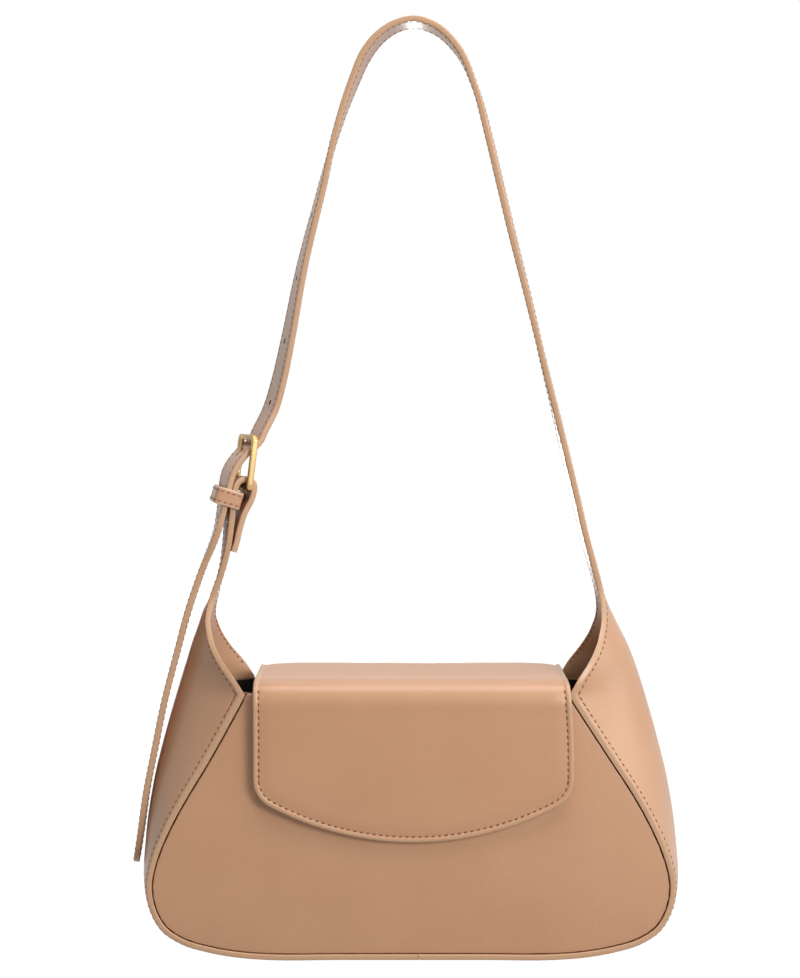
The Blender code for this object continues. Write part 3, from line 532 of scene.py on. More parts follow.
class Wiring:
    """Adds nodes to a tree and links them as it goes."""

    def __init__(self, tree):
        self.tree = tree

    def add(self, kind, *links, **settings):
        node = self.tree.nodes.new(kind)
        for key, value in settings.items():
            setattr(node, key, value)
        for source, target in links:
            if isinstance(source, bpy.types.NodeSocket):
                self.tree.links.new(source, node.inputs[target])
            else:
                node.inputs[target].default_value = source
        return node

    def pattern(self, kind, scale, *links, **settings):
        """A texture that stays on the piece."""
        space = self.add("ShaderNodeTexCoord").outputs["Object"]
        return self.add("ShaderNodeTex" + kind, (space, "Vector"), (scale, "Scale"), *links,
                        **settings)

    def maths(self, operation, first, second):
        return self.add("ShaderNodeMath", (first, 0), (second, 1), operation=operation).outputs[0]

    def mapped(self, value, to_low, to_high, low=0.3, high=0.7):
        """A value brought from one range to another."""
        node = self.add("ShaderNodeMapRange", (value, "Value"), (low, "From Min"),
                        (high, "From Max"), (to_low, "To Min"), (to_high, "To Max"))
        return node.outputs["Result"]

    def mixed(self, share, first, second):
        """Two colours mixed by a share."""
        return self.add("ShaderNodeMix", (share, "Factor"), (first, "A"), (second, "B"),
                        data_type="RGBA").outputs["Result"]


leather_group = new_group("leather_surface", [
    ("Leather", "NodeSocketColor", (0.5, 0.3, 0.2, 1)),
    ("Shade", "NodeSocketColor", (0.4, 0.2, 0.1, 1)),
    ("Edge paint and shade", "NodeSocketColor", (0.6, 0.4, 0.3, 1)),
    ("Edge width", "NodeSocketFloat", 0.0003), ("Gloss", "NodeSocketFloat", 0.42),
    ("Grain", "NodeSocketFloat", 0.12),
], [("Color", "NodeSocketColor"), ("Roughness", "NodeSocketFloat"), ("Normal", "NodeSocketVector")])
w = Wiring(leather_group)
given = w.add("NodeGroupInput").outputs
border = w.add("ShaderNodeAttribute", attribute_name="border", attribute_type="GEOMETRY")
clouds = w.pattern("Noise", 22.0, (3.0, "Detail")).outputs["Fac"]
flecks = w.pattern("Noise", 900.0, (3.0, "Detail"), (0.6, "Roughness")).outputs["Fac"]
pebbles = w.pattern("Voronoi", 1500.0, feature="SMOOTH_F1").outputs["Distance"]
face = w.mixed(w.mapped(clouds, 0.0, 0.55, 0.35, 0.75), given["Leather"], given["Shade"])
# Below the edge width comes the edge colour: paint on raw edges, painted shade in panel seams and
# hole walls
edge_paint_and_shade_mask = w.maths("LESS_THAN", border.outputs["Fac"], given["Edge width"])
painted = w.mixed(edge_paint_and_shade_mask, face, given["Edge paint and shade"])
colour = w.add("ShaderNodeVectorMath", (painted, 0), (w.mapped(flecks, 0.965, 1.03), 1),
               operation="MULTIPLY")
gloss = w.maths("ADD", given["Gloss"], w.mapped(flecks, -0.04, 0.05))
bump = w.add("ShaderNodeBump", (given["Grain"], "Strength"), (0.00012, "Distance"),
             (w.maths("ADD", pebbles, flecks), "Height"))
w.add("NodeGroupOutput", (colour.outputs[0], "Color"), (gloss, "Roughness"),
      (bump.outputs["Normal"], "Normal"))


def srgb(r, g, b):
    """A colour as read on a screen, from 0 to 255, as linear values."""
    channels = [c / 255 for c in (r, g, b)]
    return (*[c / 12.92 if c <= 0.04045 else ((c + 0.055) / 1.055) ** 2.4 for c in channels], 1.0)


def principled(name, **values):
    """A material with one Principled shader, its plain values set on its sockets."""
    material = bpy.data.materials.new(name)
    material.use_nodes = True
    shader = material.node_tree.nodes["Principled BSDF"]
    for label, value in values.items():
        shader.inputs[label.replace("_", " ")].default_value = value
    return material, shader


def grouped(name, group, values, **plain):
    """A material whose surface comes from a shader group with its own values."""
    material, shader = principled(name, **plain)
    node = Wiring(material.node_tree).add("ShaderNodeGroup", node_tree=group)
    for label, value in values.items():
        node.inputs[label].default_value = value
    for output in node.outputs:
        target = "Base Color" if output.name == "Color" else output.name
        material.node_tree.links.new(output, shader.inputs[target])
    return material


def leather(name, colour, shade, edge_paint_and_shade, edge_width=0.0003, gloss=0.42, grain=0.12):
    """Smooth leather with edge paint up to a width from its border; on panels and hole walls it is
    painted shade.
    """
    values = {"Leather": colour, "Shade": shade, "Edge paint and shade": edge_paint_and_shade, "Edge width": edge_width,
              "Gloss": gloss, "Grain": grain}
    return grouped(name, leather_group, values, Specular_IOR_Level=0.6, Sheen_Weight=0.04)


tan = srgb(206, 158, 122)
deep_tan = srgb(196, 146, 110)
edge_tan = srgb(204, 161, 125)
thread_brown = srgb(130, 82, 52)
band_leather = leather("band_leather", tan, deep_tan, edge_tan, gloss=0.37)


def dress(piece, material, body, angle=38.0):
    """Shade, finish and carry one piece."""
    pick(piece)
    bpy.ops.object.shade_smooth_by_angle(angle=math.radians(angle))
    piece.data.materials.clear()
    piece.data.materials.append(material)
    if body:
        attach(piece, body)


# A slanted line across the root parts gusset from strap, one for each side; nothing here bends
# along it
right_bend = ((0.105, 0, 0.171), (0.088, 0, 0.188))
left_bend = ((0, 0, 0.172), (0, 0, 0.202))
for band, bend in ((left_band, left_bend), (right_band, right_bend)):
    dress(band, band_leather, None)
    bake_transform(band)
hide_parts("gusset_left", "gusset_facing_left", "short_strap")
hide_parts("gusset_right", "gusset_facing_right", "long_strap")

# The walls of the punched holes are coloured dark brown: painted shade inside the holes
hole_painted_shade = leather("hole_painted_shade", srgb(92, 52, 38), srgb(70, 40, 28), srgb(80, 46, 32), gloss=0.7)
right_band.data.materials.append(hole_painted_shade)
hole_margin = 1.01
for polygon in right_band.data.polygons:
    for middle, axis in holes:
        offset = np.subtract(polygon.center, middle)
        reach = np.dot(offset, axis)
        beside = np.linalg.norm(offset - axis * reach)
        is_wall = abs(np.dot(polygon.normal, axis)) < 0.5
        if is_wall and abs(reach) < half_ply * hole_margin and beside < hole_radius * hole_margin:
            polygon.material_index = 1


# Stitching
# Brown polyester thread, about 3.4 mm to the stitch, sunk in a shallow groove along every edge. One
# low bead is the stitch, and each seam is one mesh of its copies.

stitch_pitch = 0.0034
stitch_length = 0.0021
stitch_width = 0.0008
stitch_slant = 9.0
stitch_height_share = 0.9
stitch_droop = 0.22


def edited(operator, **values):
    """Run one operator on the whole of the active piece in edit mode."""
    bpy.ops.object.mode_set(mode="EDIT")
    bpy.ops.mesh.select_all(action="SELECT")
    operator(**values)
    bpy.ops.object.mode_set(mode="OBJECT")


bpy.ops.object.select_all(action="DESELECT")
bpy.ops.mesh.primitive_uv_sphere_add(segments=8, ring_count=6, radius=0.5)
bead = bpy.context.object
edited(bpy.ops.transform.rotate, value=math.pi / 2, orient_axis="Y", center_override=(0, 0, 0))
bead_places = np.array([v.co for v in bead.data.vertices])
bead_places *= (stitch_length, stitch_width, stitch_width * stitch_height_share)
bead_places[:, 2] -= np.abs(bead_places[:, 0])**2 / stitch_length * stitch_droop
bead_faces = sorted(tuple(f.vertices) for f in bead.data.polygons)
bpy.data.objects.remove(bead)


def spun_thread(name, light, dark):
    """A twisted thread of two tones."""
    material, shader = principled(name, Roughness=0.62, Sheen_Weight=0.1)
    w = Wiring(material.node_tree)
    twist = w.pattern("Wave", 1400.0, (2.0, "Distortion"), bands_direction="DIAGONAL")
    w.tree.links.new(w.mixed(twist.outputs["Fac"], light, dark), shader.inputs["Base Color"])
    return material


thread = spun_thread("thread", thread_brown, srgb(104, 62, 37))
strap_thread = spun_thread("strap_thread", srgb(160, 112, 82), srgb(136, 92, 64))


def seam(name, lines, pitch=stitch_pitch):
    """A mesh of stitches along lines, each a list of places and of outward directions."""
    half, slant = stitch_length / 2, math.radians(stitch_slant)
    verts, faces = [], []
    for places, normals in lines:
        run = path_of(places)
        count = max(int(run[-1] / pitch), 1)
        stops = (np.arange(count) + 0.5) * run[-1] / count
        ahead = unit(line_at(stops + half, run, places) - line_at(stops - half, run, places))
        up = unit(line_at(stops, run, unit(normals)))
        beside = unit(np.cross(up, ahead))
        up = np.cross(ahead, beside)
        ahead, beside = (ahead * math.cos(slant) + beside * math.sin(slant),
                         beside * math.cos(slant) - ahead * math.sin(slant))
        for m, a, b, u in zip(line_at(stops, run, places), ahead, beside, up):
            base = len(verts)
            verts += list(m + bead_places @ np.stack([a, b, u]))
            faces += [tuple(base + v for v in f) for f in bead_faces]
    mesh = bpy.data.meshes.new(name)
    mesh.from_pydata(verts, [], faces)
    piece = bpy.data.objects.new(name, mesh)
    bpy.context.scene.collection.objects.link(piece)
    return piece


def edge_lines(stations, end, sink=0.0001):
    """Outer and inner stitch line on one edge of a strip: end is -1 in front and 1 behind."""
    lines = [], []
    for station in stations:
        mid, swell, mid_in, swell_in, width = station[:15].reshape(5, 3)
        inset = station[15] * min(1.0, np.linalg.norm(width) / strap_half)
        share, run = across_face(station)
        s = end * np.interp(run[-1] - inset, run, share)
        outer = mid + width * s + swell * (1 - s * s)
        inner = mid_in + width * s + swell_in * (1 - s * s)
        along = unit(width - 2 * s * swell)
        out = unit(outer - inner)
        out = unit(out - along * np.dot(out, along))
        lines[0].append((outer - out * sink, out))
        lines[1].append((inner + out * sink, -out))
    return [np.array(line).transpose(1, 0, 2) for line in lines]


shoulder_station = gusset_lines(1)[4]
root_station = shoulder_station + 20
fold_end = len(left_stations) - 6 * len(falling_shares)
low_lines, high_lines = {-1: [], 1: []}, {-1: [], 1: []}
for end in (-1, 1):
    for side, stations in ((-1, left_stations), (1, right_stations)):
        outer, inner = edge_lines(stations, end)
        low_lines[side] += [outer[:, 1:shoulder_station + 2],
                            outer[:, shoulder_station - 3:root_station],
                            inner[:, shoulder_station + 3:root_station]]
        if side < 0:
            high_lines[side] += [outer[:, root_station - 1:fold_end - 14],
                                 outer[:, fold_end + 4:-2],
                                 inner[:, root_station - 1:fold_end - 20]]
        else:
            high_lines[side] += [outer[:, root_station - 1:-4], inner[:, root_station - 1:-4]]
for word, side, bend in (("left", -1, left_bend), ("right", 1, right_bend)):
    for place, lines, spun in (("gusset", low_lines, thread), ("strap", high_lines, strap_thread)):
        piece = seam(word + "_" + place + "_seams", lines[side])
        dress(piece, spun, None)
        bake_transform(piece)


# Panels
# The front and back are single boards of leather over a stiffener, set 0.8 mm inside the rim and
# gently domed. Their borders turn down into the rim's seam, and are coloured deep brown there as
# painted shade of the seam.

def refined(node, name, levels, bevel=0.0, angle=40.0):
    """A smooth quad copy of a CAD node, with its sharp edges kept or rounded."""
    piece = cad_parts[node].copy()
    piece.data = piece.data.copy()
    piece.name = piece.data.name = name
    for key in list(piece.keys()):
        del piece[key]
    piece.parent = None
    bpy.context.scene.collection.objects.link(piece)
    piece.hide_render = piece.hide_viewport = False
    pick(piece)
    bpy.ops.object.mode_set(mode="EDIT")
    bpy.ops.mesh.select_all(action="SELECT")
    bpy.ops.mesh.remove_doubles(threshold=1e-6)
    bpy.ops.mesh.customdata_custom_splitnormals_clear()
    bpy.ops.mesh.tris_convert_to_quads(face_threshold=math.radians(60),
                                       shape_threshold=math.radians(120))
    bpy.ops.mesh.select_all(action="DESELECT")
    bpy.ops.mesh.edges_select_sharp(sharpness=math.radians(angle))
    if bevel:
        bpy.ops.mesh.bevel(offset=bevel, segments=3)
    else:
        bpy.ops.transform.edge_crease(value=1.0)
    bpy.ops.object.mode_set(mode="OBJECT")
    if levels:
        modifier = piece.modifiers.new("smooth", "SUBSURF")
        modifier.levels = modifier.render_levels = levels
        bpy.ops.object.modifier_apply(modifier=modifier.name)
    layer = piece.data.attributes.new("border", "FLOAT", "POINT")
    layer.data.foreach_set("value", np.ones(len(piece.data.vertices), np.float32))
    return piece


panel_spread = (1.0032, 1.0, 1.0046)
panel_bevel = 0.0011
turned_slope = 0.88
top_strip = 0.002
# The third colour, deep brown, is painted shade for the seam where the panel turns down
panel_leather = leather("panel_leather", srgb(204, 155, 118), srgb(194, 145, 108),
                        srgb(132, 84, 50), edge_width=0.5, gloss=0.4)
for word in ("front", "back"):
    panel = refined(word + "_panel", word + "_panel_skin", 2, bevel=panel_bevel)
    edited(bpy.ops.transform.resize, value=panel_spread,
           center_override=(0, 0, shoulder_height / 2))
    dress(panel, panel_leather, "shell")
    # Vertices where the border turns down into the seam take the deep brown: painted shade of the
    # seam
    painted_seam_shade = [abs(v.normal.y) < turned_slope and v.co.z < shoulder_height - top_strip
              for v in panel.data.vertices]
    panel.data.attributes["border"].data.foreach_set("value", 1.0 - np.array(painted_seam_shade, np.float32))
    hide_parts(word + "_panel")


# Lining
# Very dark woven cloth covers the compartment's walls and base, with a thin pale hem along its top.

weave_group = new_group("weave", [("Thread", "NodeSocketColor", (0.02, 0.01, 0.01, 1)),
                                  ("Gap", "NodeSocketColor", (0.01, 0.005, 0.005, 1)),
                                  ("Scale", "NodeSocketFloat", 1800.0)],
                        [("Color", "NodeSocketColor"), ("Normal", "NodeSocketVector")])
w = Wiring(weave_group)
given = w.add("NodeGroupInput").outputs
x_threads, y_threads, z_threads = [
    w.pattern("Wave", given["Scale"], bands_direction=way).outputs["Fac"] for way in "XYZ"]
cloth = w.maths("MAXIMUM", w.maths("MULTIPLY", x_threads, z_threads), y_threads)
bump = w.add("ShaderNodeBump", (0.5, "Strength"), (0.0001, "Distance"), (cloth, "Height"))
w.add("NodeGroupOutput", (w.mixed(cloth, given["Gap"], given["Thread"]), "Color"),
      (bump.outputs["Normal"], "Normal"))


def woven(name, thread, gap, scale, **plain):
    """Cloth or board of two tones."""
    return grouped(name, weave_group, {"Thread": thread, "Gap": gap, "Scale": scale}, **plain)


lining_cloth = woven("lining_cloth", srgb(38, 26, 18), srgb(20, 13, 9), 1800.0, Roughness=0.85)
hem_tape = woven("hem_tape", srgb(196, 158, 130), srgb(168, 128, 100), 1800.0, Roughness=0.8)
hem_height = shoulder_height - 0.0005
for node in ("lining_front", "lining_back", "lining_gusset"):
    piece = refined(node, node + "_cloth", 1)
    edited(bpy.ops.mesh.bisect, plane_co=(0, 0, hem_height), plane_no=(0, 0, 1))
    dress(piece, lining_cloth, "shell")
    piece.data.materials.append(hem_tape)
    for polygon in piece.data.polygons:
        polygon.material_index = int(polygon.center.z > hem_height)
    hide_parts(node)


# Boards and magnets
# Stiffening board, a base board and two magnet discs lie between leather and lining, out of sight.

board_finish = woven("board_finish", srgb(150, 140, 122), srgb(120, 110, 94), 900.0, Roughness=0.9)
plate, plate_shader = principled("magnet_plate", Metallic=1.0, Roughness=0.3)
w = Wiring(plate.node_tree)
scuffs = w.pattern("Noise", 600.0).outputs["Fac"]
w.tree.links.new(w.mixed(scuffs, srgb(170, 170, 172), srgb(200, 200, 202)),
                 plate_shader.inputs["Base Color"])
for node, hidden_finish in (("front_stiffener", board_finish), ("back_stiffener", board_finish),
                            ("base_board", board_finish), ("panel_magnet", plate),
                            ("flap_magnet", plate)):
    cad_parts[node].data.materials.clear()
    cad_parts[node].data.materials.append(hidden_finish)


# Flap
# One sheet of leather with its facing, sewn to the back panel at one end. It bends over the mouth
# and falls over the front to a convex edge with round corners. Its rim is rolled and painted.

gap = 0.0003
panel_recess = 0.0008
panel_bulge = 0.0035
panel_centre_share = 0.46
flap_half_width = mouth_share * body_half_width - 0.0041
anchor_half_width = flap_half_width - 0.0041
flap_height = shoulder_height + 0.0077
flap_bottom = 0.0626
flap_bottom_radius = 0.159
flap_corner_radius = 0.0162
flap_total = 0.0031
flap_standoff = 0.0007
anchor_drop = 0.027
anchor_thickness = 0.0016
anchor_corner_radius = 0.012
flap_stitch_inset = 0.0031


def panel_face(z):
    """Distance of a panel's face from the mid plane on its centre line."""
    middle = panel_centre_share * shoulder_height
    share = abs(z - middle) / (shoulder_height - middle if z > middle else middle)
    return (half_depth - (half_depth - shoulder_half_depth) * z / shoulder_height - panel_recess
            + panel_bulge * (1 - share * share))


hinge_y = panel_face(shoulder_height) + gap + anchor_thickness
hinge_z = shoulder_height + gap + flap_total
drop_y = panel_face(flap_bottom) + flap_standoff + flap_total / 2
crest_z = flap_height - flap_total / 2
flap_top_shares = [(1.00, 0.00), (0.92, 0.52), (0.76, 0.86), (0.40, 1.00), (0.00, 1.00)]
flap_front_shares = [(0.45, 1.000), (0.76, 0.997), (0.905, 0.972), (0.962, 0.915), (0.975, 0.800),
                     (0.985, 0.600), (0.996, 0.350), (1.000, 0.150), (1.000, 0.000)]
points = [(hinge_y * y, hinge_z + (crest_z - hinge_z) * z) for y, z in flap_top_shares]
points += [(-drop_y * y, flap_bottom + (crest_z - flap_bottom) * z) for y, z in flap_front_shares]
flap_outer = sideways(smooth(points, 8), -flap_total / 2)
anchor_heights = np.linspace(shoulder_height - anchor_drop, shoulder_height - 0.002, 20)
anchor_outer = [(panel_face(z) + gap + anchor_thickness, z) for z in anchor_heights]
bend_line = smooth([anchor_outer[-2], anchor_outer[-1], flap_outer[6], flap_outer[8]], 12)[13:24]
sheet_line = np.vstack([anchor_outer, bend_line, flap_outer[6:]])
sheet_run = path_of(sheet_line)
tangent = unit(np.gradient(sheet_line, axis=0))
top_first = len(anchor_outer)
anchor_end = sheet_run[top_first - 1]
flap_start = sheet_run[top_first + len(bend_line)]
front = int(np.argmax(sheet_line[:, 1]))
flap_sway = 0.0012
flap_flare = 0.0010
flap_rise = 0.0018
crest_depths = (0.022, -0.027)
grid_height = 0.105
sway_height = 0.107
side_seam_heights = (0.095, 0.094)
anchor_seam_runs = (0.030, 0.012)
thread_depth = 0.00042
crest_run, front_run = [float(np.interp(-y, -sheet_line[top_first:, 0], sheet_run[top_first:]))
                        for y in crest_depths]


def sheet_at(stops):
    """Place and outward direction of the sheet's outer line at distances along it: y, z, y, z."""
    return [np.interp(stops, sheet_run, values)
            for values in (*sheet_line.T, tangent[:, 1], -tangent[:, 0])]


def run_at(z):
    """Distance along the sheet to a height on its front drop."""
    return float(np.interp(-z, -sheet_line[front:, 1], sheet_run[front:]))


# The bottom edge is an arc about the flap's centre, with an arc about corner_centre at each end
flap_inner = flap_half_width - flap_corner_radius
flap_reach = flap_bottom_radius - flap_corner_radius
flap_centre = flap_bottom + flap_bottom_radius
corner_centre = flap_centre - math.sqrt(flap_reach**2 - flap_inner**2)


def flap_end(x):
    """Height of the flap's bottom edge at a place across it."""
    if abs(x) <= flap_inner * flap_bottom_radius / flap_reach:
        return flap_centre - math.sqrt(flap_bottom_radius**2 - x * x)
    return corner_centre - math.sqrt(max(flap_corner_radius**2 - (abs(x) - flap_inner)**2, 0.0))


near_edge = (0.0, 0.0003, 0.0007, 0.0012, 0.0018, 0.0024, 0.0028, 0.0031, 0.0034, 0.0040, 0.0050,
             0.0062, 0.0076, 0.0092, 0.0110, 0.0130, 0.0152)
half_columns = flap_half_width - np.array(near_edge)
half_columns = np.concatenate([half_columns, np.linspace(half_columns[-1], 0, 13)[1:]])
columns = np.concatenate([-half_columns, half_columns[-2::-1]])
mid_stops = np.linspace(anchor_end, run_at(grid_height), 56)
end_insets = np.array([0.030, 0.024, 0.019, 0.0152, 0.0125, 0.0102, 0.0082, 0.0066, 0.0052, 0.0041,
                       0.0035, 0.0031, 0.0027, 0.0021, 0.0015, 0.0010, 0.0006, 0.0003, 0.0])


def dropped(run):
    """How far a place on the flap's drop has come into its full width and sway."""
    return ease(run, front_run, run_at(sway_height))


def half_at(run):
    """Half width of the sheet, which widens from its sewn end to the flap."""
    widened = (flap_half_width - anchor_half_width) * ease(run, anchor_end * 0.8, flap_start * 1.05)
    flared = flap_flare * (ease(run, anchor_end, crest_run) - dropped(run))
    return anchor_half_width + widened - flared


def anchor_start(share):
    """Distance along the sheet at which its sewn end starts, which is round at its corners."""
    inner = anchor_half_width - anchor_corner_radius
    rounding = min(max(abs(share) * anchor_half_width - inner, 0.0), anchor_corner_radius)
    return anchor_corner_radius - math.sqrt(anchor_corner_radius**2 - rounding**2)


def settled(x, run):
    """Sideways sway of the flap's drop, and the soft rise of its top."""
    top = ease(run, flap_start * 1.02, crest_run) * (1 - ease(run, crest_run, front_run))
    across = 1 - 0.55 * ease(np.abs(x), flap_half_width * 0.72, flap_half_width)
    return flap_sway * dropped(run), flap_rise * top * across


# The flat sheet as a grid of places across it and distances along it
grid = []
for x in columns:
    share = x / flap_half_width
    start, end = anchor_start(share), run_at(flap_end(x))
    near = start + np.minimum(near_edge[:12], (anchor_end - start) * 0.6)
    rest = np.linspace(near[-1], anchor_end, 10)[1:-1]
    insets = np.minimum(end_insets, (end - mid_stops[-1]) * 0.9 * end_insets / end_insets[0])
    fall = np.linspace(mid_stops[-1], end - insets[0], 14)[1:-1]
    stops = np.concatenate([near, rest, mid_stops, fall, end - insets])
    grid.append([(share * half_at(s), s) for s in stops])
grid = np.array(grid)
rim = []
for line in (grid[:, -1], grid[:, 0], grid[0], grid[-1]):
    run = path_of(line)
    rim.append(line_at(np.linspace(0, run[-1], 600), run, line))
rim = np.vstack(rim)
from_border = np.array([np.min(np.hypot(*(rim - point).T)) for point in grid.reshape(-1, 2)])
from_border = from_border.reshape(grid.shape[:2])
from_border[[0, -1]] = from_border[:, [0, -1]] = 0.0

roll_radius = 0.0011
padding_depth = 0.0004
padding_width = 0.006
padding_rise = 0.0012
depth_in = np.clip(roll_radius - from_border, 0, roll_radius)
roll = roll_radius - np.sqrt(roll_radius**2 - depth_in**2)
groove = groove_depth * np.exp(-((from_border - flap_stitch_inset) / groove_half)**2)
inset = flap_stitch_inset
padding = padding_depth * (1 - ease(from_border, inset, inset + padding_width))
padding *= ease(from_border, inset - padding_rise, inset)
thick = anchor_thickness + (flap_total - anchor_thickness) * ease(grid[..., 1], anchor_end * 0.9,
                                                                  flap_start * 1.1)
y, z, normal_y, normal_z = sheet_at(grid[..., 1])
sway, rise = settled(grid[..., 0], grid[..., 1])
outer_points, inner_points = [
    np.stack([grid[..., 0] + sway, y - normal_y * depth, z + rise - normal_z * depth], axis=-1)
    for depth in (roll * 0.9 + groove + padding, thick - (roll + groove) * 0.5)]
sections = np.concatenate([outer_points, inner_points[::-1]], axis=0).transpose(1, 0, 2)
borders = np.concatenate([from_border, from_border[::-1]], axis=0).T
flap_sheet = wrap("flap_sheet", sections, borders)
flap_leather = leather("flap_leather", srgb(205, 154, 116), srgb(196, 145, 107), edge_tan,
                       edge_width=0.0021, gloss=0.38)
dress(flap_sheet, flap_leather, None, angle=50)
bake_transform(flap_sheet)
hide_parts("flap", "flap_facing", "flap_anchor")


def flap_stitch_line(inner=False):
    """The seam round the flap's sides and bottom, as places and outward directions."""
    inset = flap_stitch_inset
    corner, radius = flap_corner_radius - inset, flap_bottom_radius - inset
    top = anchor_end + 0.004 if inner else run_at(flap_height - 0.0035)
    flat = [(inset - half_at(s), s) for s in np.linspace(top, run_at(side_seam_heights[0]), 60)]
    flat += [(inset - flap_half_width, run_at(z))
             for z in np.linspace(side_seam_heights[1], corner_centre, 20)]
    stop = math.asin(flap_inner / flap_reach)
    flat += [(-flap_inner - corner * math.cos(a), run_at(corner_centre - corner * math.sin(a)))
             for a in np.linspace(0, math.pi / 2 - stop, 12)[1:]]
    flat += [(radius * math.sin(a), run_at(flap_centre - radius * math.cos(a)))
             for a in np.linspace(-stop, 0, 30)[1:]]
    flat = np.array(flat + [(-x, s) for x, s in flat[-2::-1]])
    sign, depth = (-1, flap_total - 0.0001) if inner else (1, thread_depth)
    sway, rise = settled(*flat.T)
    y, z, ny, nz = sheet_at(flat[:, 1])
    return (np.stack([flat[:, 0] + sway, y - ny * depth, z + rise - nz * depth], axis=1),
            sign * np.stack([np.zeros(len(flat)), ny, nz], axis=1))


corner = anchor_corner_radius - flap_stitch_inset
anchor_inner = anchor_half_width - anchor_corner_radius
flat = [(flap_stitch_inset - anchor_half_width, s) for s in np.linspace(*anchor_seam_runs, 12)]
flat += [(-anchor_inner - corner * math.cos(a), anchor_corner_radius - corner * math.sin(a))
         for a in np.linspace(0, math.pi / 2, 10)]
flat = np.array(flat + [(-x, s) for x, s in flat[::-1]])
anchor_line = (np.stack([flat[:, 0], *sheet_at(flat[:, 1])[:2]], axis=1),
               np.tile((0.0, 1.0, 0.0), (len(flat), 1)))
flap_seams = seam("flap_seams", [flap_stitch_line(), flap_stitch_line(inner=True), anchor_line])
dress(flap_seams, thread, None)
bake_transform(flap_seams)


# Keeper
# A narrow sewn loop of the same leather that slides on the strap and holds the tail.

keeper_height = 0.0092
keeper_thickness = 0.0013
keeper_slack = 0.0005
keeper_corner = 0.0022
keeper_tilt = math.radians(17.5)
keeper_turn = math.radians(9.5)
keeper_middle_share = (-0.300, -0.190)
keeper_half_share = 0.226
keeper_round = 0.0006
keeper_paint = 0.0011
keeper_step = 0.0015
keeper_stitch_inset = 0.0019
keeper_pitch = 0.0031


def rounded_loop(half_a, half_b, radius, steps):
    """Corner-rounded rectangle about the origin, as points with their outward directions."""
    loop = []
    for quarter, (a, b) in enumerate(((1, 1), (-1, 1), (-1, -1), (1, -1))):
        for k in range(steps + 1):
            angle = math.radians(90 * (quarter + k / steps))
            c, s = math.cos(angle), math.sin(angle)
            loop.append((a * (half_a - radius) + radius * c, b * (half_b - radius) + radius * s,
                         c, s))
    return loop


level = np.array((math.cos(keeper_turn), math.sin(keeper_turn), 0))
wide = np.array((-math.sin(keeper_turn), math.cos(keeper_turn), 0))
side_way = level * math.cos(keeper_tilt) - upward * math.sin(keeper_tilt)
along = level * math.sin(keeper_tilt) + upward * math.cos(keeper_tilt)
keeper_middle = np.array(at_frame(*keeper_middle_share)[:3])
half_a = frame_length * keeper_half_share - keeper_thickness / 2
half_b = strap_half + keeper_slack
loop = rounded_loop(half_a, half_b, keeper_corner - keeper_thickness / 2, 8)
fine = []
for first, second in zip(np.array(loop), np.array(loop[1:] + loop[:1])):
    count = max(int(math.dist(first[:2], second[:2]) / keeper_step), 1)
    fine += [first + (second - first) * k / count for k in range(count)]
half_h, half_t = keeper_height / 2, keeper_thickness / 2
painted = half_h - keeper_paint
corners = [(half_t + x, y) for x, y, *_ in rounded_loop(half_t, half_h, keeper_round, 3)]
profile = [(keeper_thickness, painted), *corners[:8], (0.0, painted), (0.0, -painted), *corners[8:],
           (keeper_thickness, -painted)]
sections, borders = [], []
for x, y, *n in fine:
    n = unit(n)
    sections.append([keeper_middle + side_way * (x + n[0] * t) + wide * (y + n[1] * t) + along * h
                     for t, h in profile])
    borders.append([half_h - abs(h) for t, h in profile])
keeper = wrap("keeper_band", sections, borders, closed=True)
keeper_leather = leather("keeper_leather", tan, deep_tan, srgb(222, 186, 156), edge_width=0.0009)
dress(keeper, keeper_leather, "keeper")
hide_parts("keeper_loop")
lines = []
for height in (-1, 1):
    middle = keeper_middle + along * height * (half_h - keeper_stitch_inset)
    places = [middle + side_way * (x + n[0] * keeper_thickness)
              + wide * (y + n[1] * keeper_thickness) for x, y, *n in fine]
    normals = [side_way * n[0] + wide * n[1] for x, y, *n in fine]
    lines.append((places + places[:1], normals + normals[:1]))
keeper_seams = seam("keeper_seams", lines, pitch=keeper_pitch)
dress(keeper_seams, strap_thread, "keeper")


# Buckle
# A die-cast frame of flat bar with a pale gold plating, polished, on a round pivot bar. The prong
# is a bent pin with a ring that turns on the same bar.

gold, gold_shader = principled("pale_gold", Metallic=1.0)
w = Wiring(gold.node_tree)
haze = w.pattern("Noise", 260.0, (4.0, "Detail")).outputs["Fac"]
w.tree.links.new(w.mixed(haze, srgb(178, 147, 102), srgb(170, 139, 95)),
                 gold_shader.inputs["Base Color"])
w.tree.links.new(w.mapped(haze, 0.38, 0.43), gold_shader.inputs["Roughness"])

frame_up = unit(inward * math.sin(frame_tilt) + upward * math.cos(frame_tilt))
frame_out = unit(inward * math.cos(frame_tilt) - upward * math.sin(frame_tilt))
half_v = strap_half + frame_clearance + bar_width / 2
corner_bend = 0.0022
bevel = 0.0005
end_bevel = 0.0003
path = [(-half_v, 0.0), (-half_v, bar_reach - corner_bend)]
path += [(-half_v + corner_bend * (1 - math.cos(a)), bar_reach - corner_bend * (1 - math.sin(a)))
         for a in np.linspace(0, math.pi / 2, 8)[1:]]
path = np.array(path + [(-v, e) for v, e in path[::-1]])
bar_profile = rounded_loop(bar_width / 2, bar_depth / 2, bevel, 3)
sections = []
for (v, e), (dv, de) in zip(path, unit(np.gradient(path, axis=0))):
    out = across * (-de) + frame_up * dv
    sections.append([pivot + across * v + frame_up * e + out * p + frame_out * q
                     for p, q, *_ in bar_profile])
buckle = wrap("buckle_bow", sections)
pieces = [buckle, round_bar(pivot, across, pivot_radius, 2 * half_v, 32)]
bpy.ops.object.transform_apply()
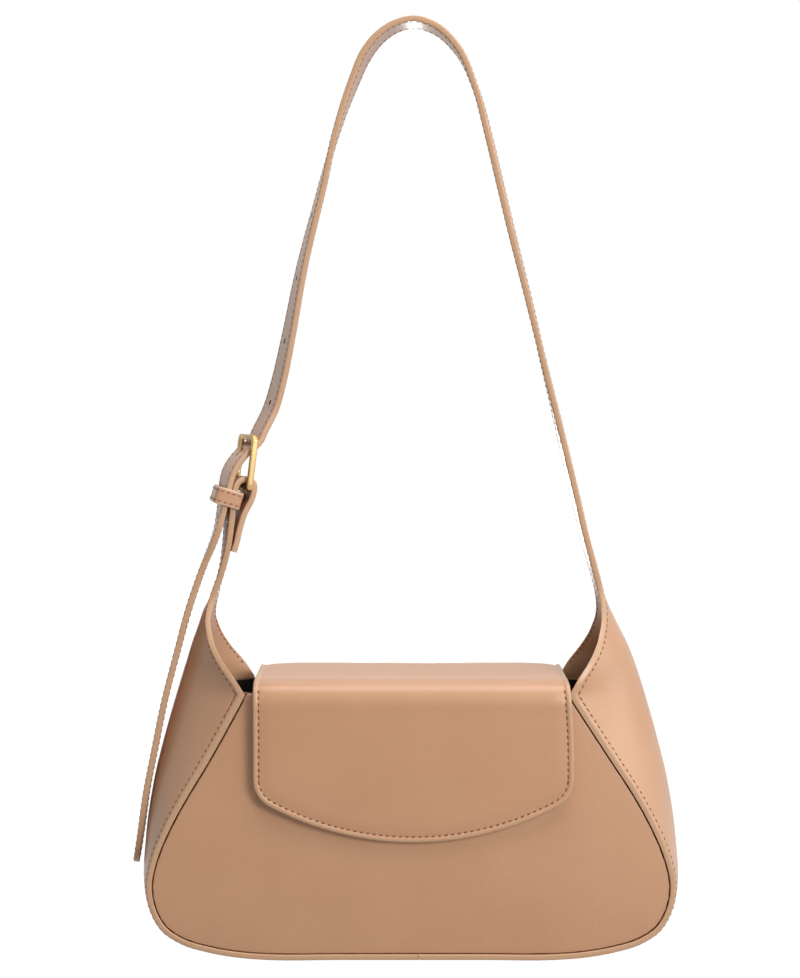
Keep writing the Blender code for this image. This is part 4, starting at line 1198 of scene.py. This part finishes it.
for end in (-1, 1):
    pieces.append(round_bar(pivot + across * half_v * end, across, bar_depth / 2, bar_width, 32))
    bpy.ops.object.transform_apply()
    edited(bpy.ops.mesh.bevel, offset=end_bevel, segments=2)
pick(*pieces)
bpy.ops.object.join()
dress(buckle, gold, "buckle")
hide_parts("buckle_frame")

line = smooth(prong_line, 8)
sections = []
for i, ((u, s), (du, ds)) in enumerate(zip(line, unit(np.gradient(line, axis=0)))):
    share = i / (len(line) - 1)
    tip = math.sqrt(max(1 - ease(share, 0.93, 1.0)**2, 0.02))
    radius = prong_radius * (1.0 - 0.28 * ease(share, 0.3, 0.93)) * tip
    side = inward * ds - upward * du
    sections.append([at_buckle(u, s) + side * (radius * math.cos(a))
                     + across * (radius * 1.1 * math.sin(a))
                     for a in np.linspace(0, math.tau, 17)[:-1] + math.tau / 32])
prong = wrap("prong_pin", sections)
ring_profile = [(ring_inner, -1), (ring_inner, 1), (ring_outer - end_bevel, 1), (ring_outer, 0.8),
                (ring_outer, -0.8), (ring_outer - end_bevel, -1)]
sections = []
for angle in np.linspace(0, math.tau, 33)[:-1]:
    spoke = inward * math.cos(angle) + upward * math.sin(angle)
    sections.append([pivot + spoke * r + across * (prong_ring_width / 2 * e)
                     for r, e in ring_profile])
pick(prong, wrap("prong_ring", sections, closed=True))
bpy.ops.object.join()
dress(prong, gold, "prong")
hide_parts("buckle_prong")


# Studio
# A white floor and white surroundings, a soft light from the front right and one above, and weaker
# ones from the side, the left and behind. The camera stands in front, a little above the middle.

scene = bpy.context.scene
scene.view_settings.view_transform = "Standard"


def seen_rays(w):
    """1 for rays that the camera, a reflection or a clear piece sends out, and 0 for the rest."""
    rays = w.add("ShaderNodeLightPath").outputs
    seen = w.maths("MAXIMUM", rays["Is Camera Ray"], rays["Is Glossy Ray"])
    return w.maths("MAXIMUM", seen, rays["Is Transmission Ray"])


bpy.ops.object.select_all(action="DESELECT")
bpy.ops.mesh.primitive_plane_add(size=12, location=(0, 0, -0.0006))
floor = bpy.context.object
floor.name = "floor"
edited(bpy.ops.mesh.subdivide, number_cuts=2)
floor_white = bpy.data.materials.new("floor_white")
world = scene.world = bpy.data.worlds.new("studio")
for shown in (floor_white, world):
    shown.use_nodes = True
    shown.node_tree.nodes.clear()
w = Wiring(floor_white.node_tree)
paper = w.add("ShaderNodeBsdfDiffuse", ((0.4, 0.4, 0.4, 1), "Color"))
glow = w.add("ShaderNodeEmission", ((1, 1, 1, 1), "Color"), (1.34, "Strength"))
mixed = w.add("ShaderNodeMixShader", (w.maths("MULTIPLY", seen_rays(w), 0.75), 0),
              (paper.outputs[0], 1), (glow.outputs[0], 2))
w.add("ShaderNodeOutputMaterial", (mixed.outputs[0], "Surface"))
floor.data.materials.append(floor_white)
w = Wiring(world.node_tree)
level = w.mapped(seen_rays(w), 0.02, 1.0, 0.0, 1.0)
sky = w.add("ShaderNodeBackground", ((1, 1, 1, 1), "Color"), (level, "Strength"))
w.add("ShaderNodeOutputWorld", (sky.outputs[0], "Surface"))


def softbox(name, place, target_height, size, power):
    """A large square light that faces the bag's middle line at a height."""
    data = bpy.data.lights.new(name, "AREA")
    data.shape = "SQUARE"
    data.size = size
    data.energy = power
    lamp = bpy.data.objects.new(name, data)
    scene.collection.objects.link(lamp)
    lamp.location = place
    aim = Vector((0, 0, target_height)) - Vector(place)
    lamp.rotation_euler = aim.to_track_quat("-Z", "Y").to_euler()


softbox("key", (0.98, -1.48, 0.8), 0.15, 0.7, 18.6)
softbox("side", (1.9, -0.35, 0.55), 0.15, 0.9, 6.6)
softbox("top", (0.2, -0.5, 1.8), 0.15, 1.2, 20.5)
softbox("left", (-0.7, -0.3, 1.9), 0.15, 1.0, 3)
softbox("back", (0.2, 0.6, 1.7), 0.15, 1.0, 4.5)
softbox("behind", (0.0, 1.9, 0.06), 0.12, 0.22, 7)

photo_height = 978
photo_focal = 2170.5
photo_shift = -40
camera_pitch = 0.0268
camera_data = bpy.data.cameras.new("camera")
camera = bpy.data.objects.new("camera", camera_data)
scene.collection.objects.link(camera)
scene.camera = camera
camera_data.sensor_fit = "VERTICAL"
camera_data.sensor_height = 36
camera_data.lens = photo_focal / photo_height * camera_data.sensor_height
camera_data.shift_y = photo_shift / photo_height
camera_data.clip_start = 0.01
camera.location = (-0.0058, -1.169, 0.2976)
camera.rotation_euler = (math.pi / 2 - camera_pitch, 0, 0)
